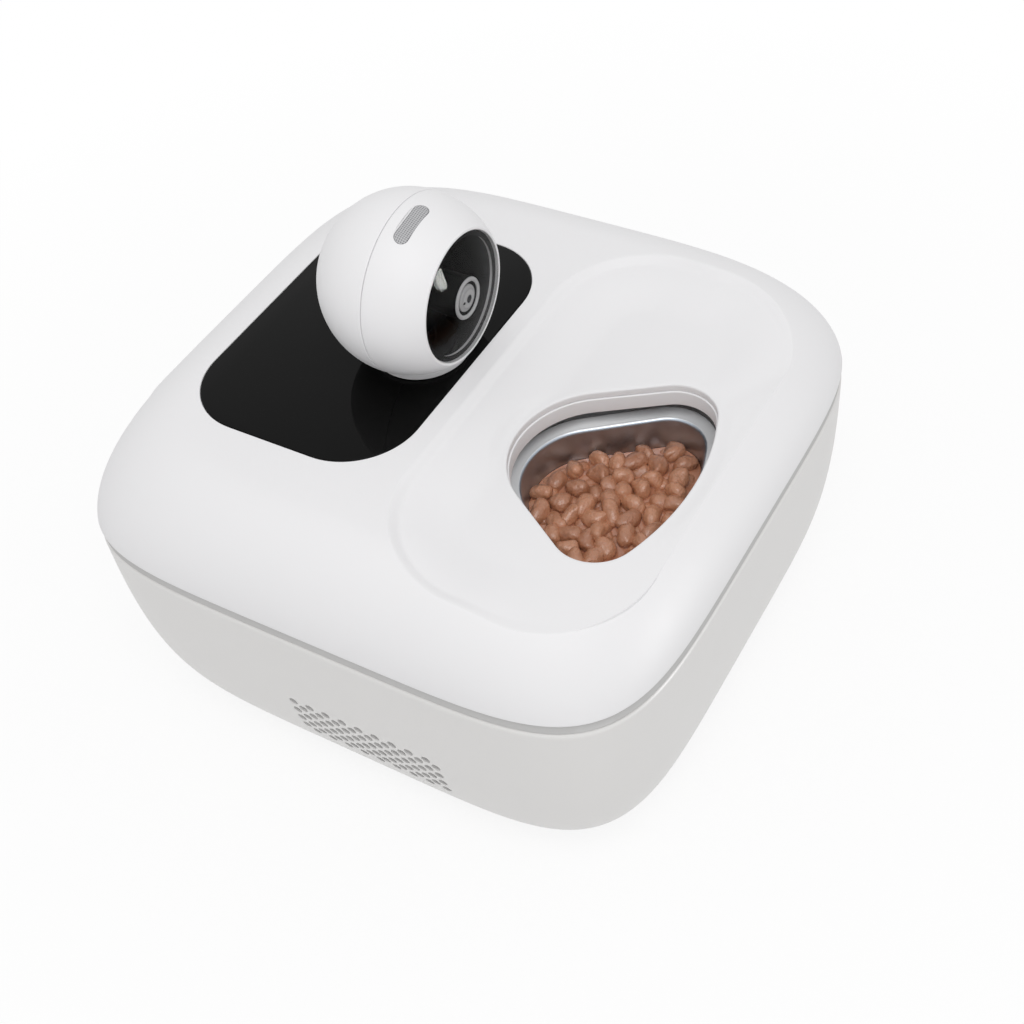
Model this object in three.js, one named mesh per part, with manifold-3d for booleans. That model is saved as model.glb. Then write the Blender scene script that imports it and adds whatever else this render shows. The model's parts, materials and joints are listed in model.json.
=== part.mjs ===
// Chilled wet food feeder: a carousel of five steel bowls turns in an insulated tub under a hinged lid.
// The lid has a shallow dish with one wedge-shaped opening, and carries a glass panel and a camera head.
// Millimetres, +Z up. The origin is on the floor, under the middle of the overall box. -Y is the pet's side.
import * as THREE from 'three';
import { mergeVertices } from 'three/addons/utils/BufferGeometryUtils.js';
import Module from 'manifold-3d';

const wasm = await Module();
wasm.setup();

// Fits that all pieces share
const fitGap = 0.3;
const cutMargin = 4;

// Bowls: five wedges that hang in the tray by their flanges
const bowlCount = 5;
const bowl = { reach: 132.2, halfGap: 1.5, corner: 26.5, tip: 43.5, flange: 7.2, sheet: 0.8, depth: 42,
  taper: 4.5, floorRound: 7, flangeThick: 1, hang: 5, gearGap: 1.2 };
const food = { drop: 16.5, wallGap: 0.5, lump: 2.2, lumpPitch: 17 };
const foodShares = [0.08, 0.3, 0.52, 0.74, 0.9];

// Tray, hub and gears; the carousel stands left of the casing's middle, to leave the wiring duct its room
const hub = { x: -19, y: -6 };
const tray = { rimWidth: 1, thick: 3.6, skirtDepth: 12, skirtWall: 1.6, hubRadius: 16, hubBore: 11.3,
  runGap: 0.5 };
const gear = { module: 3, wheelTeeth: 40, pinionTeeth: 8, thick: 4, windows: 5, windowRadius: 12,
  pinionAngle: 40 };
const toothShare = { addendum: 0.78, dedendum: 1.12, root: 0.53, tip: 0.24 };
const spindle = { radius: 6, flangeRadius: 14, flangeThick: 2, stopBelowTray: 1 };
const bearing = { height: 6 };
const cap = { radius: 17, height: 5.5, thick: 1.6 };
const trayRadius = bowl.reach + tray.rimWidth;

// Cooling tub: deck, neck under the lid and the round well
const tub = { wall: 2, wellGap: 1.6, wellDepth: 34.3, deckDrop: 4, deckThick: 3, neckRise: 3, neckWall: 1.3,
  neckDraft: 1.3 };
const gasket = { thick: 1.4 };
const wellRadius = trayRadius + tub.wellGap;

// Casing: the base wall curves in under the feeder, the lid is a crowned dome
const base = { wall: 3, depth: 130, inset: 41, groove: 6, shelf: 0.9, ledge: 8, ledgeWall: 2.5,
  openingInset: 19 };
const profilePower = { base: 2.9, lid: 1.84 };
const planPower = { seam: 5.4, top: 4, bottom: 5.3 };
const footHeight = 3;
const lid = { height: 47.5, wall: 3, topWall: 4.2, round: 43 };
const depthExtra = 6;
const halfWidth = Math.abs(hub.x) + wellRadius + tub.wall + fitGap + base.shelf + base.wall;
const halfDepth = halfWidth + depthExtra;
const seamZ = footHeight + base.depth;
const lidTopZ = seamZ + lid.height;
const baseTopZ = seamZ - base.groove;
const vent = { rows: 5, perRow: 8, pitch: 12, rowPitch: 6.2, radius: 2.9, firstDrop: 66, middleY: -16,
  sides: 6 };

// Heights of the tub and the carousel, from the deck down and from the tub's floor up
const deckZ = seamZ - tub.deckDrop;
const tubFloorZ = deckZ - tub.wellDepth;
const tubUnderZ = tubFloorZ - tub.wall;
const gearZ = tubFloorZ + fitGap + spindle.flangeThick + tray.runGap;
const bowlFloorZ = gearZ + gear.thick + bowl.gearGap + bowl.sheet;
const bowlRimZ = bowlFloorZ + bowl.depth;
const trayTopZ = bowlRimZ - bowl.flangeThick - fitGap;
const spindleTopZ = trayTopZ - spindle.stopBelowTray;

// Rear lobe and hinge, shared by the base and the lid
const lobe = { halfWidth: 60, blend: 22, reach: 5.4, fadeHeight: 32, solidHeight: 12 };
const hinge = { barrelRadius: 2.6, pinRadius: 1.2, behindWall: 2.2, lidHalf: 17.5, baseLength: 16,
  sideGap: 0.5, outerLength: 15.5, sides: 12 };
const hingeZ = seamZ - base.groove / 2;
const hingeY = halfDepth + hinge.behindWall;

// Lid details: glass panel at the rear, dish and opening at the front
const panel = { halfWidth: 90, front: -5, rearMargin: 44.5, corner: 38, thick: 2.2 };
const panelRear = halfDepth - panel.rearMargin;
const panelBoard = { halfWidth: 62, depth: 46, thick: 1.6, behind: 22 };
const dish = { leftMargin: 25, rightMargin: 41, frontMargin: 18, rearMargin: 10.5, corner: 55, depth: 12,
  step: 3.5, slope: 31, edgeRun: 3, wall: 3, lip: 3 };
const opening = { shiftX: -3.4, shiftY: 1.8, overhang: 2.2, halfAngle: 32.3, corner: 22, tip: 46 };
const skirt = { depth: 9.2, seatDrop: 1, wall: 2.2, flange: 4.2, flangeThick: 1.6, step: 0.6 };
const dishFloorZ = lidTopZ - dish.depth;

// Camera head: a ball with a flat foot, a domed window and a tilting lens
const head = { radius: 46.4, wall: 2.2, height: 43.5, behindFront: 29.5, seamY: -2 };
const neck = { radius: 25.1, height: 3.6, stemRadius: 10, boreRadius: 8.3, edge: 0.8 };
const face = { radius: 33, rise: 8, edgeThick: 1.8, rim: 1.4, lip: 2.5, lipThick: 1.5 };
const light = { x: -6, y: -12, half: 12.5, radius: 3.4, deep: 1 };
const yoke = { spigotRadius: 8, plateThick: 2.6, armHalf: 24.5, armThick: 3, armWidth: 12 };
const lens = { radius: 10.8, frontY: -34, backY: 6, glassRadius: 7, glassRise: 1.6, seatDepth: 2.4, lip: 1.3,
  trunnion: 2.4, boss: 5.4 };
const eyeBoard = { half: 13, thick: 1.6 };
const panMotor = { radius: 12, height: 15, edge: 2 };
const headY = panel.front + head.behindFront;
const headZ = lidTopZ + head.height;

// Cooling unit and drive under the tub
const cooler = { fromWall: 86, y: -18, plate: 60, plateThick: 3.1, corner: 3, module: 40, moduleThick: 4 };
const sink = { size: 80, plateThick: 6, fins: 13, finThick: 1.6, finDepth: 38 };
const fan = { floorGap: 16.2, thick: 15, rim: 2.5, hubRadius: 11, bladeGap: 1.4, blades: 7, bladeThick: 1.4,
  corner: 5, strut: 4, plateThick: 2.2 };
const bladeSweepShares = [0.93, 0.56, 0.43];
const motor = { radius: 12.5, height: 38, plateRadius: 18, plateThick: 2, edge: 3, shaftRadius: 2.5 };
const pad = { inset: 8.8 };

// Bottom cover, feet, board, inlet and screws
const cover = { thick: 2.5, slots: 7, slotWidth: 4, slotLength: 56, slotPitch: 11, post: 4 };
const rubberFoot = { fromEdge: 28, radius: 11, seat: 1, edge: 1 };
const board = { fromEdge: 54, width: 78, depth: 66, thick: 1.6, rise: 8.5, postInset: 6, tall: 9 };
const chipShares = [[0.2, 0.25, 0.3, 0.3, 1], [0.6, 0.2, 0.16, 0.16, 0.5], [0.62, 0.6, 0.24, 0.2, 0.25],
  [0.2, 0.68, 0.2, 0.14, 0.4]];
const inlet = { fromSide: 68, height: 39, radius: 5.7, bore: 3.2, pin: 1, length: 20, socket: 14, pinBack: 6,
  flangeRadius: 9, flangeThick: 2, flangeIn: 6.2, recess: 1.2 };
const screw = { head: 2.8, headHeight: 1.5, shank: 1.4, length: 7 };

// Points round the casing and round the dish, and the heights of the rings as shares of the curve
const casingPoints = 40;
const cornerBias = 0.3;
const baseOuterShares = [1, 0.84, 0.68, 0.52, 0.36, 0.18];
const baseInnerShares = [0, 0.2, 0.42, 0.64, 0.84];
const lidOuterShares = [0, 0.13, 0.27, 0.42, 0.58, 0.77, 1];
const lidInnerShares = [0, 0.12, 0.3, 0.52, 0.76, 1];

// Shape helpers

function toSolid(geometry) {
  const plain = geometry.clone();
  plain.deleteAttribute('normal');
  plain.deleteAttribute('uv');
  const merged = mergeVertices(plain.index ? plain.toNonIndexed() : plain, 1e-4);
  return new wasm.Manifold(new wasm.Mesh({
    numProp: 3,
    vertProperties: new Float32Array(merged.attributes.position.array),
    triVerts: new Uint32Array(merged.index.array),
  }));
}

function toGeometry(solid) {
  const mesh = solid.getMesh();
  const geometry = new THREE.BufferGeometry();
  geometry.setAttribute('position', new THREE.BufferAttribute(new Float32Array(mesh.vertProperties), 3));
  geometry.setIndex(new THREE.BufferAttribute(new Uint32Array(mesh.triVerts), 1));
  return geometry;
}

const cutAll = (solid, cutters) => cutters.reduce((left, cutter) => left.subtract(toSolid(cutter)), solid);
const joinAll = (solid, extras) => extras.reduce((whole, extra) => whole.add(toSolid(extra)), solid);

// Skin through rings of equally many points, each ring counter-clockwise seen from above and the rings in
// order from below, over the rim and down inside. It is capped at both ends, or joined end to start.
function loft(rings, closed = false) {
  const count = rings[0].length;
  const positions = rings.flat().flatMap((point) => [point.x, point.y, point.z]);
  const index = [];
  const spans = closed ? rings.length : rings.length - 1;
  for (let r = 0; r < spans; r += 1) {
    const low = r * count;
    const high = ((r + 1) % rings.length) * count;
    for (let i = 0; i < count; i += 1) {
      const j = (i + 1) % count;
      index.push(low + i, low + j, high + j, low + i, high + j, high + i);
    }
  }
  if (!closed) {
    [[0, true], [rings.length - 1, false]].forEach(([r, down]) => {
      const centre = new THREE.Vector3();
      rings[r].forEach((point) => centre.addScaledVector(point, 1 / count));
      const middle = positions.length / 3;
      positions.push(centre.x, centre.y, centre.z);
      for (let i = 0; i < count; i += 1) {
        const a = r * count + i;
        const b = r * count + ((i + 1) % count);
        index.push(...(down ? [middle, b, a] : [middle, a, b]));
      }
    });
  }
  const geometry = new THREE.BufferGeometry();
  geometry.setAttribute('position', new THREE.Float32BufferAttribute(positions, 3));
  geometry.setIndex(index);
  return geometry;
}

// Superellipse: the higher the power, the squarer the outline. The points crowd towards the corners.
function planRing(halfX, halfY, power, z, count = casingPoints) {
  return Array.from({ length: count }, (_, i) => {
    const turn = (i / count) * Math.PI * 2;
    const angle = turn + (cornerBias / 4) * Math.sin(4 * turn);
    const c = Math.cos(angle);
    const s = Math.sin(angle);
    const r = (Math.abs(c) ** power + Math.abs(s) ** power) ** (-1 / power);
    return new THREE.Vector3(halfX * r * c, halfY * r * s, z);
  });
}

function circleRing(x, y, radius, z, count = casingPoints) {
  return planRing(radius, radius, 2, z, count).map((p) => new THREE.Vector3(p.x + x, p.y + y, p.z));
}

function roundedShape(x0, x1, y0, y1, radius) {
  const shape = new THREE.Shape();
  shape.moveTo(x0 + radius, y0);
  shape.lineTo(x1 - radius, y0);
  shape.absarc(x1 - radius, y0 + radius, radius, -Math.PI / 2, 0);
  shape.lineTo(x1, y1 - radius);
  shape.absarc(x1 - radius, y1 - radius, radius, 0, Math.PI / 2);
  shape.lineTo(x0 + radius, y1);
  shape.absarc(x0 + radius, y1 - radius, radius, Math.PI / 2, Math.PI);
  shape.lineTo(x0, y0 + radius);
  shape.absarc(x0 + radius, y0 + radius, radius, Math.PI, Math.PI * 1.5);
  return shape;
}

// Radius of a polygon whose flats stand clear of a round of the given radius
const clearOf = (radius, sides) => radius / Math.cos(Math.PI / sides);

const ringShape = (ring) => new THREE.Shape(ring.map((p) => new THREE.Vector2(p.x, p.y)));

function prism(shape, z0, z1, segments = 8) {
  const depth = z1 - z0;
  return new THREE.ExtrudeGeometry(shape, { depth, bevelEnabled: false, curveSegments: segments })
    .translate(0, 0, z0);
}

function rod(radius, z0, z1, x = 0, y = 0, sides = 16) {
  const geometry = new THREE.CylinderGeometry(radius, radius, z1 - z0, sides);
  return geometry.rotateX(Math.PI / 2).translate(x, y, (z0 + z1) / 2);
}

function rodX(radius, x0, x1, y, z, sides = 16) {
  return rod(radius, x0, x1, 0, 0, sides).rotateY(Math.PI / 2).translate(0, y, z);
}

function block(x0, x1, y0, y1, z0, z1) {
  return new THREE.BoxGeometry(x1 - x0, y1 - y0, z1 - z0)
    .translate((x0 + x1) / 2, (y0 + y1) / 2, (z0 + z1) / 2);
}

// Revolve of [radius, height] pairs about Z, from the lower end on the axis to the upper, or closed on itself
function turned(profile, segments) {
  const points = profile.map(([r, z]) => new THREE.Vector2(r, z));
  return new THREE.LatheGeometry(points, segments).rotateX(Math.PI / 2);
}

// The same revolve about an axis along Y
function turnedY(profile, segments) {
  return turned(profile, segments).rotateX(-Math.PI / 2);
}

// [radius, height] pairs along a circle about the axis, between two angles from the radius direction
function arc(radius, from, to, steps) {
  return Array.from({ length: steps + 1 }, (_, i) => {
    const angle = from + ((to - from) * i) / steps;
    return [Math.abs(Math.cos(angle)) < 1e-9 ? 0 : radius * Math.cos(angle), radius * Math.sin(angle)];
  });
}

const smooth = (t) => {
  const u = Math.min(Math.max(t, 0), 1);
  return u * u * (3 - 2 * u);
};

// Casing outlines

// How far the base wall stands in from the seam outline, a given drop below the seam
function baseInset(drop) {
  const rise = Math.min((drop / base.depth) ** (profilePower.base / 2), 1);
  return base.inset * (1 - Math.sqrt(1 - rise * rise) ** (2 / profilePower.base));
}

function basePower(drop) {
  return planPower.seam + ((planPower.bottom - planPower.seam) * drop) / base.depth;
}

// Rear lobe over the hinge: full near the seam, faded out further from it
function withLobe(ring, share) {
  return ring.map((p) => {
    if (p.y < 0) return p;
    const across = smooth((lobe.halfWidth + lobe.blend - Math.abs(p.x)) / lobe.blend);
    const rearness = smooth((p.y / halfDepth - 1 / 2) * 4);
    return new THREE.Vector3(p.x, p.y + lobe.reach * across * share * rearness, p.z);
  });
}

const lobeShare = (away) => 1 - smooth((away - lobe.solidHeight) / (lobe.fadeHeight - lobe.solidHeight));

function baseRing(drop, inward, lobed) {
  const inset = baseInset(drop) + inward;
  const ring = planRing(halfWidth - inset, halfDepth - inset, basePower(drop), seamZ - drop);
  return lobed ? withLobe(ring, lobeShare(drop)) : ring;
}

// Where the base wall stands at a given place along its rear side
function baseWallY(x, z) {
  const inset = baseInset(seamZ - z);
  const power = basePower(seamZ - z);
  return (halfDepth - inset) * (1 - Math.abs(x / (halfWidth - inset)) ** power) ** (1 / power);
}

// Lid dome: t runs from 0 at the seam to 1 at the top
function domeAt(t, height = lid.height, round = lid.round) {
  const angle = (t * Math.PI) / 2;
  const rise = Math.sin(angle) ** (2 / profilePower.lid);
  const inset = round * (1 - Math.max(Math.cos(angle), 0) ** (2 / profilePower.lid));
  const power = planPower.seam + (planPower.top - planPower.seam) * rise;
  return { z: seamZ + height * rise, inset, power };
}

function domeRing(t, inward, height, round, lobed) {
  const at = domeAt(t, height, round);
  const ring = planRing(halfWidth - at.inset - inward, halfDepth - at.inset - inward, at.power, at.z);
  return lobed ? withLobe(ring, lobeShare(at.z - seamZ)) : ring;
}

// Height of the dome over a point, found by halving the range of rings that could pass there
function domeZ(x, y) {
  let low = 0;
  let high = 1;
  for (let i = 0; i < 24; i += 1) {
    const at = domeAt((low + high) / 2);
    const inside = Math.abs(x / (halfWidth - at.inset)) ** at.power
      + Math.abs(y / (halfDepth - at.inset)) ** at.power < 1;
    if (inside) low = (low + high) / 2;
    else high = (low + high) / 2;
  }
  return domeAt(low).z;
}

// Rounded wedge that points back to its centre, about -Y: offset inwards by inset
function wedgeRing(spec, inset, z, steps = 3) {
  const half = (spec.halfAngle * Math.PI) / 180;
  const cornerAt = spec.reach - spec.corner;
  const lean = half - Math.asin((spec.gap + spec.corner) / cornerAt);
  const tipAt = (spec.gap + spec.tip) / Math.sin(half);
  const right = [];
  for (let i = 1; i <= steps; i += 1) {
    const angle = (lean * i) / (steps + 1);
    right.push([(spec.reach - inset) * Math.sin(angle), -(spec.reach - inset) * Math.cos(angle)]);
  }
  for (let i = 0; i <= steps; i += 1) {
    const angle = lean - Math.PI / 2 + ((half - lean + Math.PI / 2) * i) / steps;
    right.push([cornerAt * Math.sin(lean) + (spec.corner - inset) * Math.cos(angle),
      -cornerAt * Math.cos(lean) + (spec.corner - inset) * Math.sin(angle)]);
  }
  for (let i = 0; i < steps; i += 1) {
    const angle = half + ((Math.PI / 2 - half) * i) / steps;
    right.push([(spec.tip - inset) * Math.cos(angle), -tipAt + (spec.tip - inset) * Math.sin(angle)]);
  }
  const outline = [[0, -(spec.reach - inset)], ...right, [0, -tipAt + spec.tip - inset],
    ...right.map(([x, y]) => [-x, y]).reverse()];
  return outline.map(([x, y]) => new THREE.Vector3(spec.x + x, spec.y + y, z));
}

const bowlWedge = { x: hub.x, y: hub.y, reach: bowl.reach, halfAngle: 180 / bowlCount, gap: bowl.halfGap,
  corner: bowl.corner, tip: bowl.tip };
const openingWedge = { x: hub.x + opening.shiftX, y: hub.y + opening.shiftY,
  reach: bowl.reach + opening.overhang, halfAngle: opening.halfAngle,
  gap: 0, corner: opening.corner, tip: opening.tip };

function aboutHub(geometry, turns) {
  return geometry.translate(-hub.x, -hub.y, 0).rotateZ(turns * Math.PI * 2).translate(hub.x, hub.y, 0);
}

// Hinge barrels: lid in the middle and at the ends, base between them, on one pin

const afterLid = hinge.lidHalf + hinge.sideGap;
const afterBase = afterLid + hinge.baseLength + hinge.sideGap;
const pinHalf = afterBase + hinge.outerLength;
const bothSides = (from, to) => [[-to, -from], [from, to]];
const baseKnuckles = bothSides(afterLid, afterLid + hinge.baseLength);
const lidKnuckles = [[-hinge.lidHalf, hinge.lidHalf], ...bothSides(afterBase, pinHalf)];

function hingeBarrels(spans, webFrom, webTo) {
  return spans.flatMap(([x0, x1]) => [
    rodX(hinge.barrelRadius, x0, x1, hingeY, hingeZ, hinge.sides),
    block(x0, x1, hingeY - hinge.barrelRadius, hingeY + hinge.barrelRadius, webFrom, webTo),
  ]);
}

function hingePin(radius = hinge.pinRadius, past = 0) {
  return rodX(radius, -pinHalf - past, pinHalf + past, hingeY, hingeZ, hinge.sides);
}

// Base

const openingHalfX = halfWidth - base.inset - base.openingInset;
const openingHalfY = halfDepth - base.inset - base.openingInset;
const ledgeZ = footHeight + cover.thick + fitGap;
const ledgeTopZ = ledgeZ + base.ledgeWall;
const inletZ = footHeight + inlet.height;
const inletX = halfWidth - inlet.fromSide;

function ventHoles() {
  const holes = [];
  for (let row = 0; row < vent.rows; row += 1) {
    const shift = ((row % 2) * vent.pitch) / 2;
    const drop = vent.firstDrop + row * vent.rowPitch;
    const outX = halfWidth - baseInset(drop);
    for (let i = 0; i < vent.perRow; i += 1) {
      const y = vent.middleY + (i - (vent.perRow - 1) / 2) * vent.pitch + shift - vent.pitch / 4;
      holes.push(rodX(vent.radius, -outX - cutMargin, -outX + base.wall + cutMargin * 2, y, seamZ - drop,
        vent.sides));
    }
  }
  return holes;
}

const screwPlaces = [-1, 1].flatMap((side) => [[side * (openingHalfX + fitGap - base.ledge / 2), 0],
  [0, side * (openingHalfY + fitGap - base.ledge / 2)]]);
const screwHoles = (z0, z1) => screwPlaces.map(([x, y]) => rod(screw.shank + fitGap, z0, z1, x, y, 6));

function baseShell() {
  const floorDrop = seamZ - ledgeTopZ;
  const along = (share, depth) => depth * Math.sin((share * Math.PI) / 2) ** (2 / profilePower.base);
  const shelfDrop = tub.deckDrop + tub.deckThick + fitGap;
  const opened = (out, z) => planRing(openingHalfX + out, openingHalfY + out, planPower.bottom, z);
  const rings = [
    opened(0, footHeight),
    ...baseOuterShares.map((share) => baseRing(along(share, base.depth), 0, true)),
    baseRing(base.groove, 0, true),
    baseRing(base.groove, base.wall, false),
    baseRing(shelfDrop, base.wall, false),
    baseRing(shelfDrop, base.wall + base.shelf, false),
    ...baseInnerShares.map((share) => baseRing(Math.max(shelfDrop + base.shelf * 4, along(share, floorDrop)),
      base.wall, false)),
    opened(base.openingInset / 2, ledgeTopZ),
    opened(-base.ledge, ledgeTopZ),
    opened(-base.ledge, ledgeZ),
    opened(0, ledgeZ),
  ];
  const inletHole = rod(inlet.radius + fitGap, -inlet.length, inlet.length)
    .rotateX(-Math.PI / 2).translate(inletX, baseWallY(inletX, inletZ), inletZ);
  const webZ = baseTopZ - base.wall;
  const solid = joinAll(toSolid(loft(rings, true)), hingeBarrels(baseKnuckles, webZ, hingeZ));
  return toGeometry(cutAll(solid, [hingePin(hinge.pinRadius + fitGap), inletHole,
    ...screwHoles(ledgeZ - cutMargin, ledgeTopZ + cutMargin), ...ventHoles()]));
}

const coverTopZ = footHeight + cover.thick;
const coolerX = cooler.fromWall - halfWidth;
const coldPlateZ = tubUnderZ - fitGap - cooler.plateThick;
const moduleZ = coldPlateZ - fitGap - cooler.moduleThick;
const sinkTopZ = moduleZ - fitGap;
const fanBackX = coolerX - sink.size / 2 - fitGap;
const fanSize = sinkTopZ - sink.plateThick / 2 - coverTopZ - fan.floorGap;
const fanBore = fanSize / 2 - fan.rim;
const fanZ = sinkTopZ - sink.plateThick / 2 - fanSize / 2;
const boardZ = coverTopZ + board.rise;
const boardX = openingHalfX - board.fromEdge;
const boardY = openingHalfY - board.fromEdge;
const footPlaces = [[-1, -1], [1, -1], [1, 1], [-1, 1]].map(([sx, sy]) => [
  sx * (openingHalfX - rubberFoot.fromEdge), sy * (openingHalfY - rubberFoot.fromEdge)]);

// Bottom cover with air slots, foot seats and posts under the board
function bottomCover() {
  const outline = (z) => planRing(openingHalfX - fitGap, openingHalfY - fitGap, planPower.bottom, z);
  const rootZ = coverTopZ - cover.thick / 2;
  const posts = [-1, 1].flatMap((sx) => [-1, 1].map((sy) => rod(cover.post, rootZ, boardZ - fitGap,
    boardX + sx * (board.width / 2 - board.postInset),
    boardY + sy * (board.depth / 2 - board.postInset), 8)));
  const slotX = coolerX + sink.size / 4;
  const slots = Array.from({ length: cover.slots }, (_, i) => {
    const y = cooler.y + (i - (cover.slots - 1) / 2) * cover.slotPitch;
    const [halfLength, half] = [cover.slotLength / 2, cover.slotWidth / 2];
    return prism(roundedShape(slotX - halfLength, slotX + halfLength, y - half, y + half, half),
      footHeight - cutMargin, coverTopZ + cutMargin, 2);
  });
  const seats = footPlaces.map(([x, y]) => rod(rubberFoot.radius + fitGap, footHeight - cutMargin,
    footHeight + rubberFoot.seat, x, y, 12));
  const plate = toSolid(loft([outline(footHeight), outline(coverTopZ)]));
  return toGeometry(cutAll(joinAll(plate, posts), [...slots, ...seats,
    ...screwHoles(footHeight - cutMargin, coverTopZ + cutMargin)]));
}

function footPad([x, y]) {
  const top = footHeight + rubberFoot.seat - fitGap;
  return turned([[0, 0], [rubberFoot.radius - rubberFoot.edge, 0], [rubberFoot.radius, rubberFoot.edge],
    [rubberFoot.radius, top], [0, top]], 12).translate(x, y, 0);
}

function coverScrew([x, y]) {
  const under = footHeight - fitGap;
  return turned([[0, under - screw.headHeight], [screw.head, under - screw.headHeight / 2],
    [screw.head, under], [screw.shank, under], [screw.shank, under + screw.length],
    [0, under + screw.length + screw.shank]], 8)
    .translate(x, y, 0);
}

// Tub

const pinionReach = (gear.module * (gear.wheelTeeth + gear.pinionTeeth)) / 2;
const pinionTurn = (gear.pinionAngle * Math.PI) / 180;
const pinionX = hub.x + pinionReach * Math.cos(pinionTurn);
const pinionY = hub.y + pinionReach * Math.sin(pinionTurn);

function coolingTub() {
  const collar = (inward, z) => planRing(halfWidth - base.wall - fitGap - inward,
    halfDepth - base.wall - fitGap - inward, planPower.seam, z);
  const well = (radius, z) => circleRing(hub.x, hub.y, radius, z);
  const outside = loft([
    well(wellRadius - tub.wall / 2, tubUnderZ),
    well(wellRadius + tub.wall, tubUnderZ + tub.wall * (3 / 2)),
    well(wellRadius + tub.wall, deckZ - tub.deckThick),
    collar(0, deckZ - tub.deckThick),
    collar(0, deckZ),
    collar(tub.neckDraft, seamZ + tub.neckRise),
  ]);
  const neckHollow = loft([collar(tub.neckDraft + tub.neckWall, deckZ),
    collar(tub.neckDraft + tub.neckWall, seamZ + tub.neckRise + cutMargin)]);
  const wellHollow = loft([well(wellRadius - tub.wall, tubFloorZ), well(wellRadius, tubFloorZ + tub.wall),
    well(wellRadius, deckZ + tub.neckRise)]);
  const shaftHole = rod(motor.shaftRadius + 2 * fitGap, tubUnderZ - cutMargin, tubFloorZ + cutMargin,
    pinionX, pinionY, 10);
  return toGeometry(cutAll(toSolid(outside), [neckHollow, wellHollow, shaftHole]));
}

function tubGasket() {
  const band = (outward, z) => planRing(halfWidth - base.wall + outward, halfDepth - base.wall + outward,
    planPower.seam, z);
  return loft([band(0, baseTopZ + fitGap), band(gasket.thick, baseTopZ + fitGap),
    band(gasket.thick, seamZ - fitGap), band(0, seamZ - fitGap)], true);
}

// Foam between the tub's floor and the heat sink, with windows for the cold plate and the motor
function insulationPad() {
  const half = cooler.plate / 2 + 2 * fitGap;
  const [low, high] = [tubUnderZ - cooler.plateThick - cooler.moduleThick - cutMargin, tubUnderZ + cutMargin];
  const disc = rod(wellRadius - pad.inset, sinkTopZ + fitGap, tubUnderZ - fitGap, hub.x, hub.y, 32);
  return toGeometry(cutAll(toSolid(disc), [
    block(coolerX - half, coolerX + half, cooler.y - half, cooler.y + half, low, high),
    rod(motor.plateRadius + 2 * fitGap, low, high, pinionX, pinionY, 20),
  ]));
}

function spindlePost() {
  const z = tubFloorZ + fitGap;
  return turned([[0, z], [spindle.flangeRadius, z], [spindle.flangeRadius, z + spindle.flangeThick],
    [spindle.radius, z + spindle.flangeThick], [spindle.radius, spindleTopZ], [0, spindleTopZ]], 16)
    .translate(hub.x, hub.y, 0);
}

function spindleBearing(z) {
  const inner = spindle.radius + fitGap;
  const outer = tray.hubBore - fitGap;
  const top = z + bearing.height;
  return turned([[inner, z], [outer, z], [outer, top], [inner, top], [inner, z]], 14)
    .translate(hub.x, hub.y, 0);
}

// Carousel

// Deep-drawn bowl: the outside from the floor up, over the flange, and down inside
function bowlShell(index) {
  const under = bowlRimZ - bowl.flangeThick;
  const side = bowl.flange;
  const ring = (inset, z) => wedgeRing(bowlWedge, inset, z);
  return aboutHub(loft([
    ring(side + bowl.taper + bowl.floorRound - bowl.sheet, bowlFloorZ - bowl.sheet),
    ring(side + bowl.taper - bowl.sheet, bowlFloorZ + bowl.floorRound - bowl.sheet),
    ring(side - bowl.sheet, under),
    ring(0, under),
    ring(0, bowlRimZ),
    ring(side, bowlRimZ),
    ring(side + bowl.taper, bowlFloorZ + bowl.floorRound),
    ring(side + bowl.taper + bowl.floorRound, bowlFloorZ),
  ]), index / bowlCount);
}

// Heap of meat pieces in gravy: two crossed waves lift the surface in rounds
function wetFood() {
  const topZ = bowlRimZ - food.drop;
  const gap = food.wallGap;
  const insetAt = (z) => bowl.flange + bowl.taper * ((bowlRimZ - z) / (bowl.depth - bowl.floorRound)) + gap;
  const lumpAt = (p) => food.lump * Math.sin((p.x / food.lumpPitch) * Math.PI * 2)
    * Math.cos((p.y / food.lumpPitch) * Math.PI * 2);
  const middle = new THREE.Vector3(hub.x, hub.y - bowl.reach * (2 / 3), topZ);
  const toward = (share) => wedgeRing(bowlWedge, insetAt(topZ), topZ).map((p) => {
    const q = p.clone().lerp(middle, share);
    return new THREE.Vector3(q.x, q.y, topZ + food.lump + lumpAt(q));
  });
  const roundZ = bowlFloorZ + bowl.floorRound;
  const edgeZ = topZ - food.lump * 2;
  return loft([
    wedgeRing(bowlWedge, insetAt(roundZ) + bowl.floorRound, bowlFloorZ + gap),
    wedgeRing(bowlWedge, insetAt(roundZ), roundZ),
    wedgeRing(bowlWedge, insetAt(edgeZ), edgeZ),
    ...foodShares.map(toward),
  ]);
}

function carouselTray() {
  const rim = trayRadius - tray.skirtWall;
  const plate = turned([[tray.hubBore, gearZ], [tray.hubRadius, gearZ],
    [tray.hubRadius, trayTopZ - tray.thick],
    [rim, trayTopZ - tray.thick], [rim, trayTopZ - tray.skirtDepth], [trayRadius, trayTopZ - tray.skirtDepth],
    [trayRadius, trayTopZ], [tray.hubBore, trayTopZ], [tray.hubBore, gearZ]], 40).translate(hub.x, hub.y, 0);
  const pockets = Array.from({ length: bowlCount }, (_, i) => aboutHub(prism(
    ringShape(wedgeRing(bowlWedge, bowl.hang, 0)), trayTopZ - tray.thick - cutMargin, trayTopZ + cutMargin),
  i / bowlCount));
  return toGeometry(cutAll(toSolid(plate), pockets));
}

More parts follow.
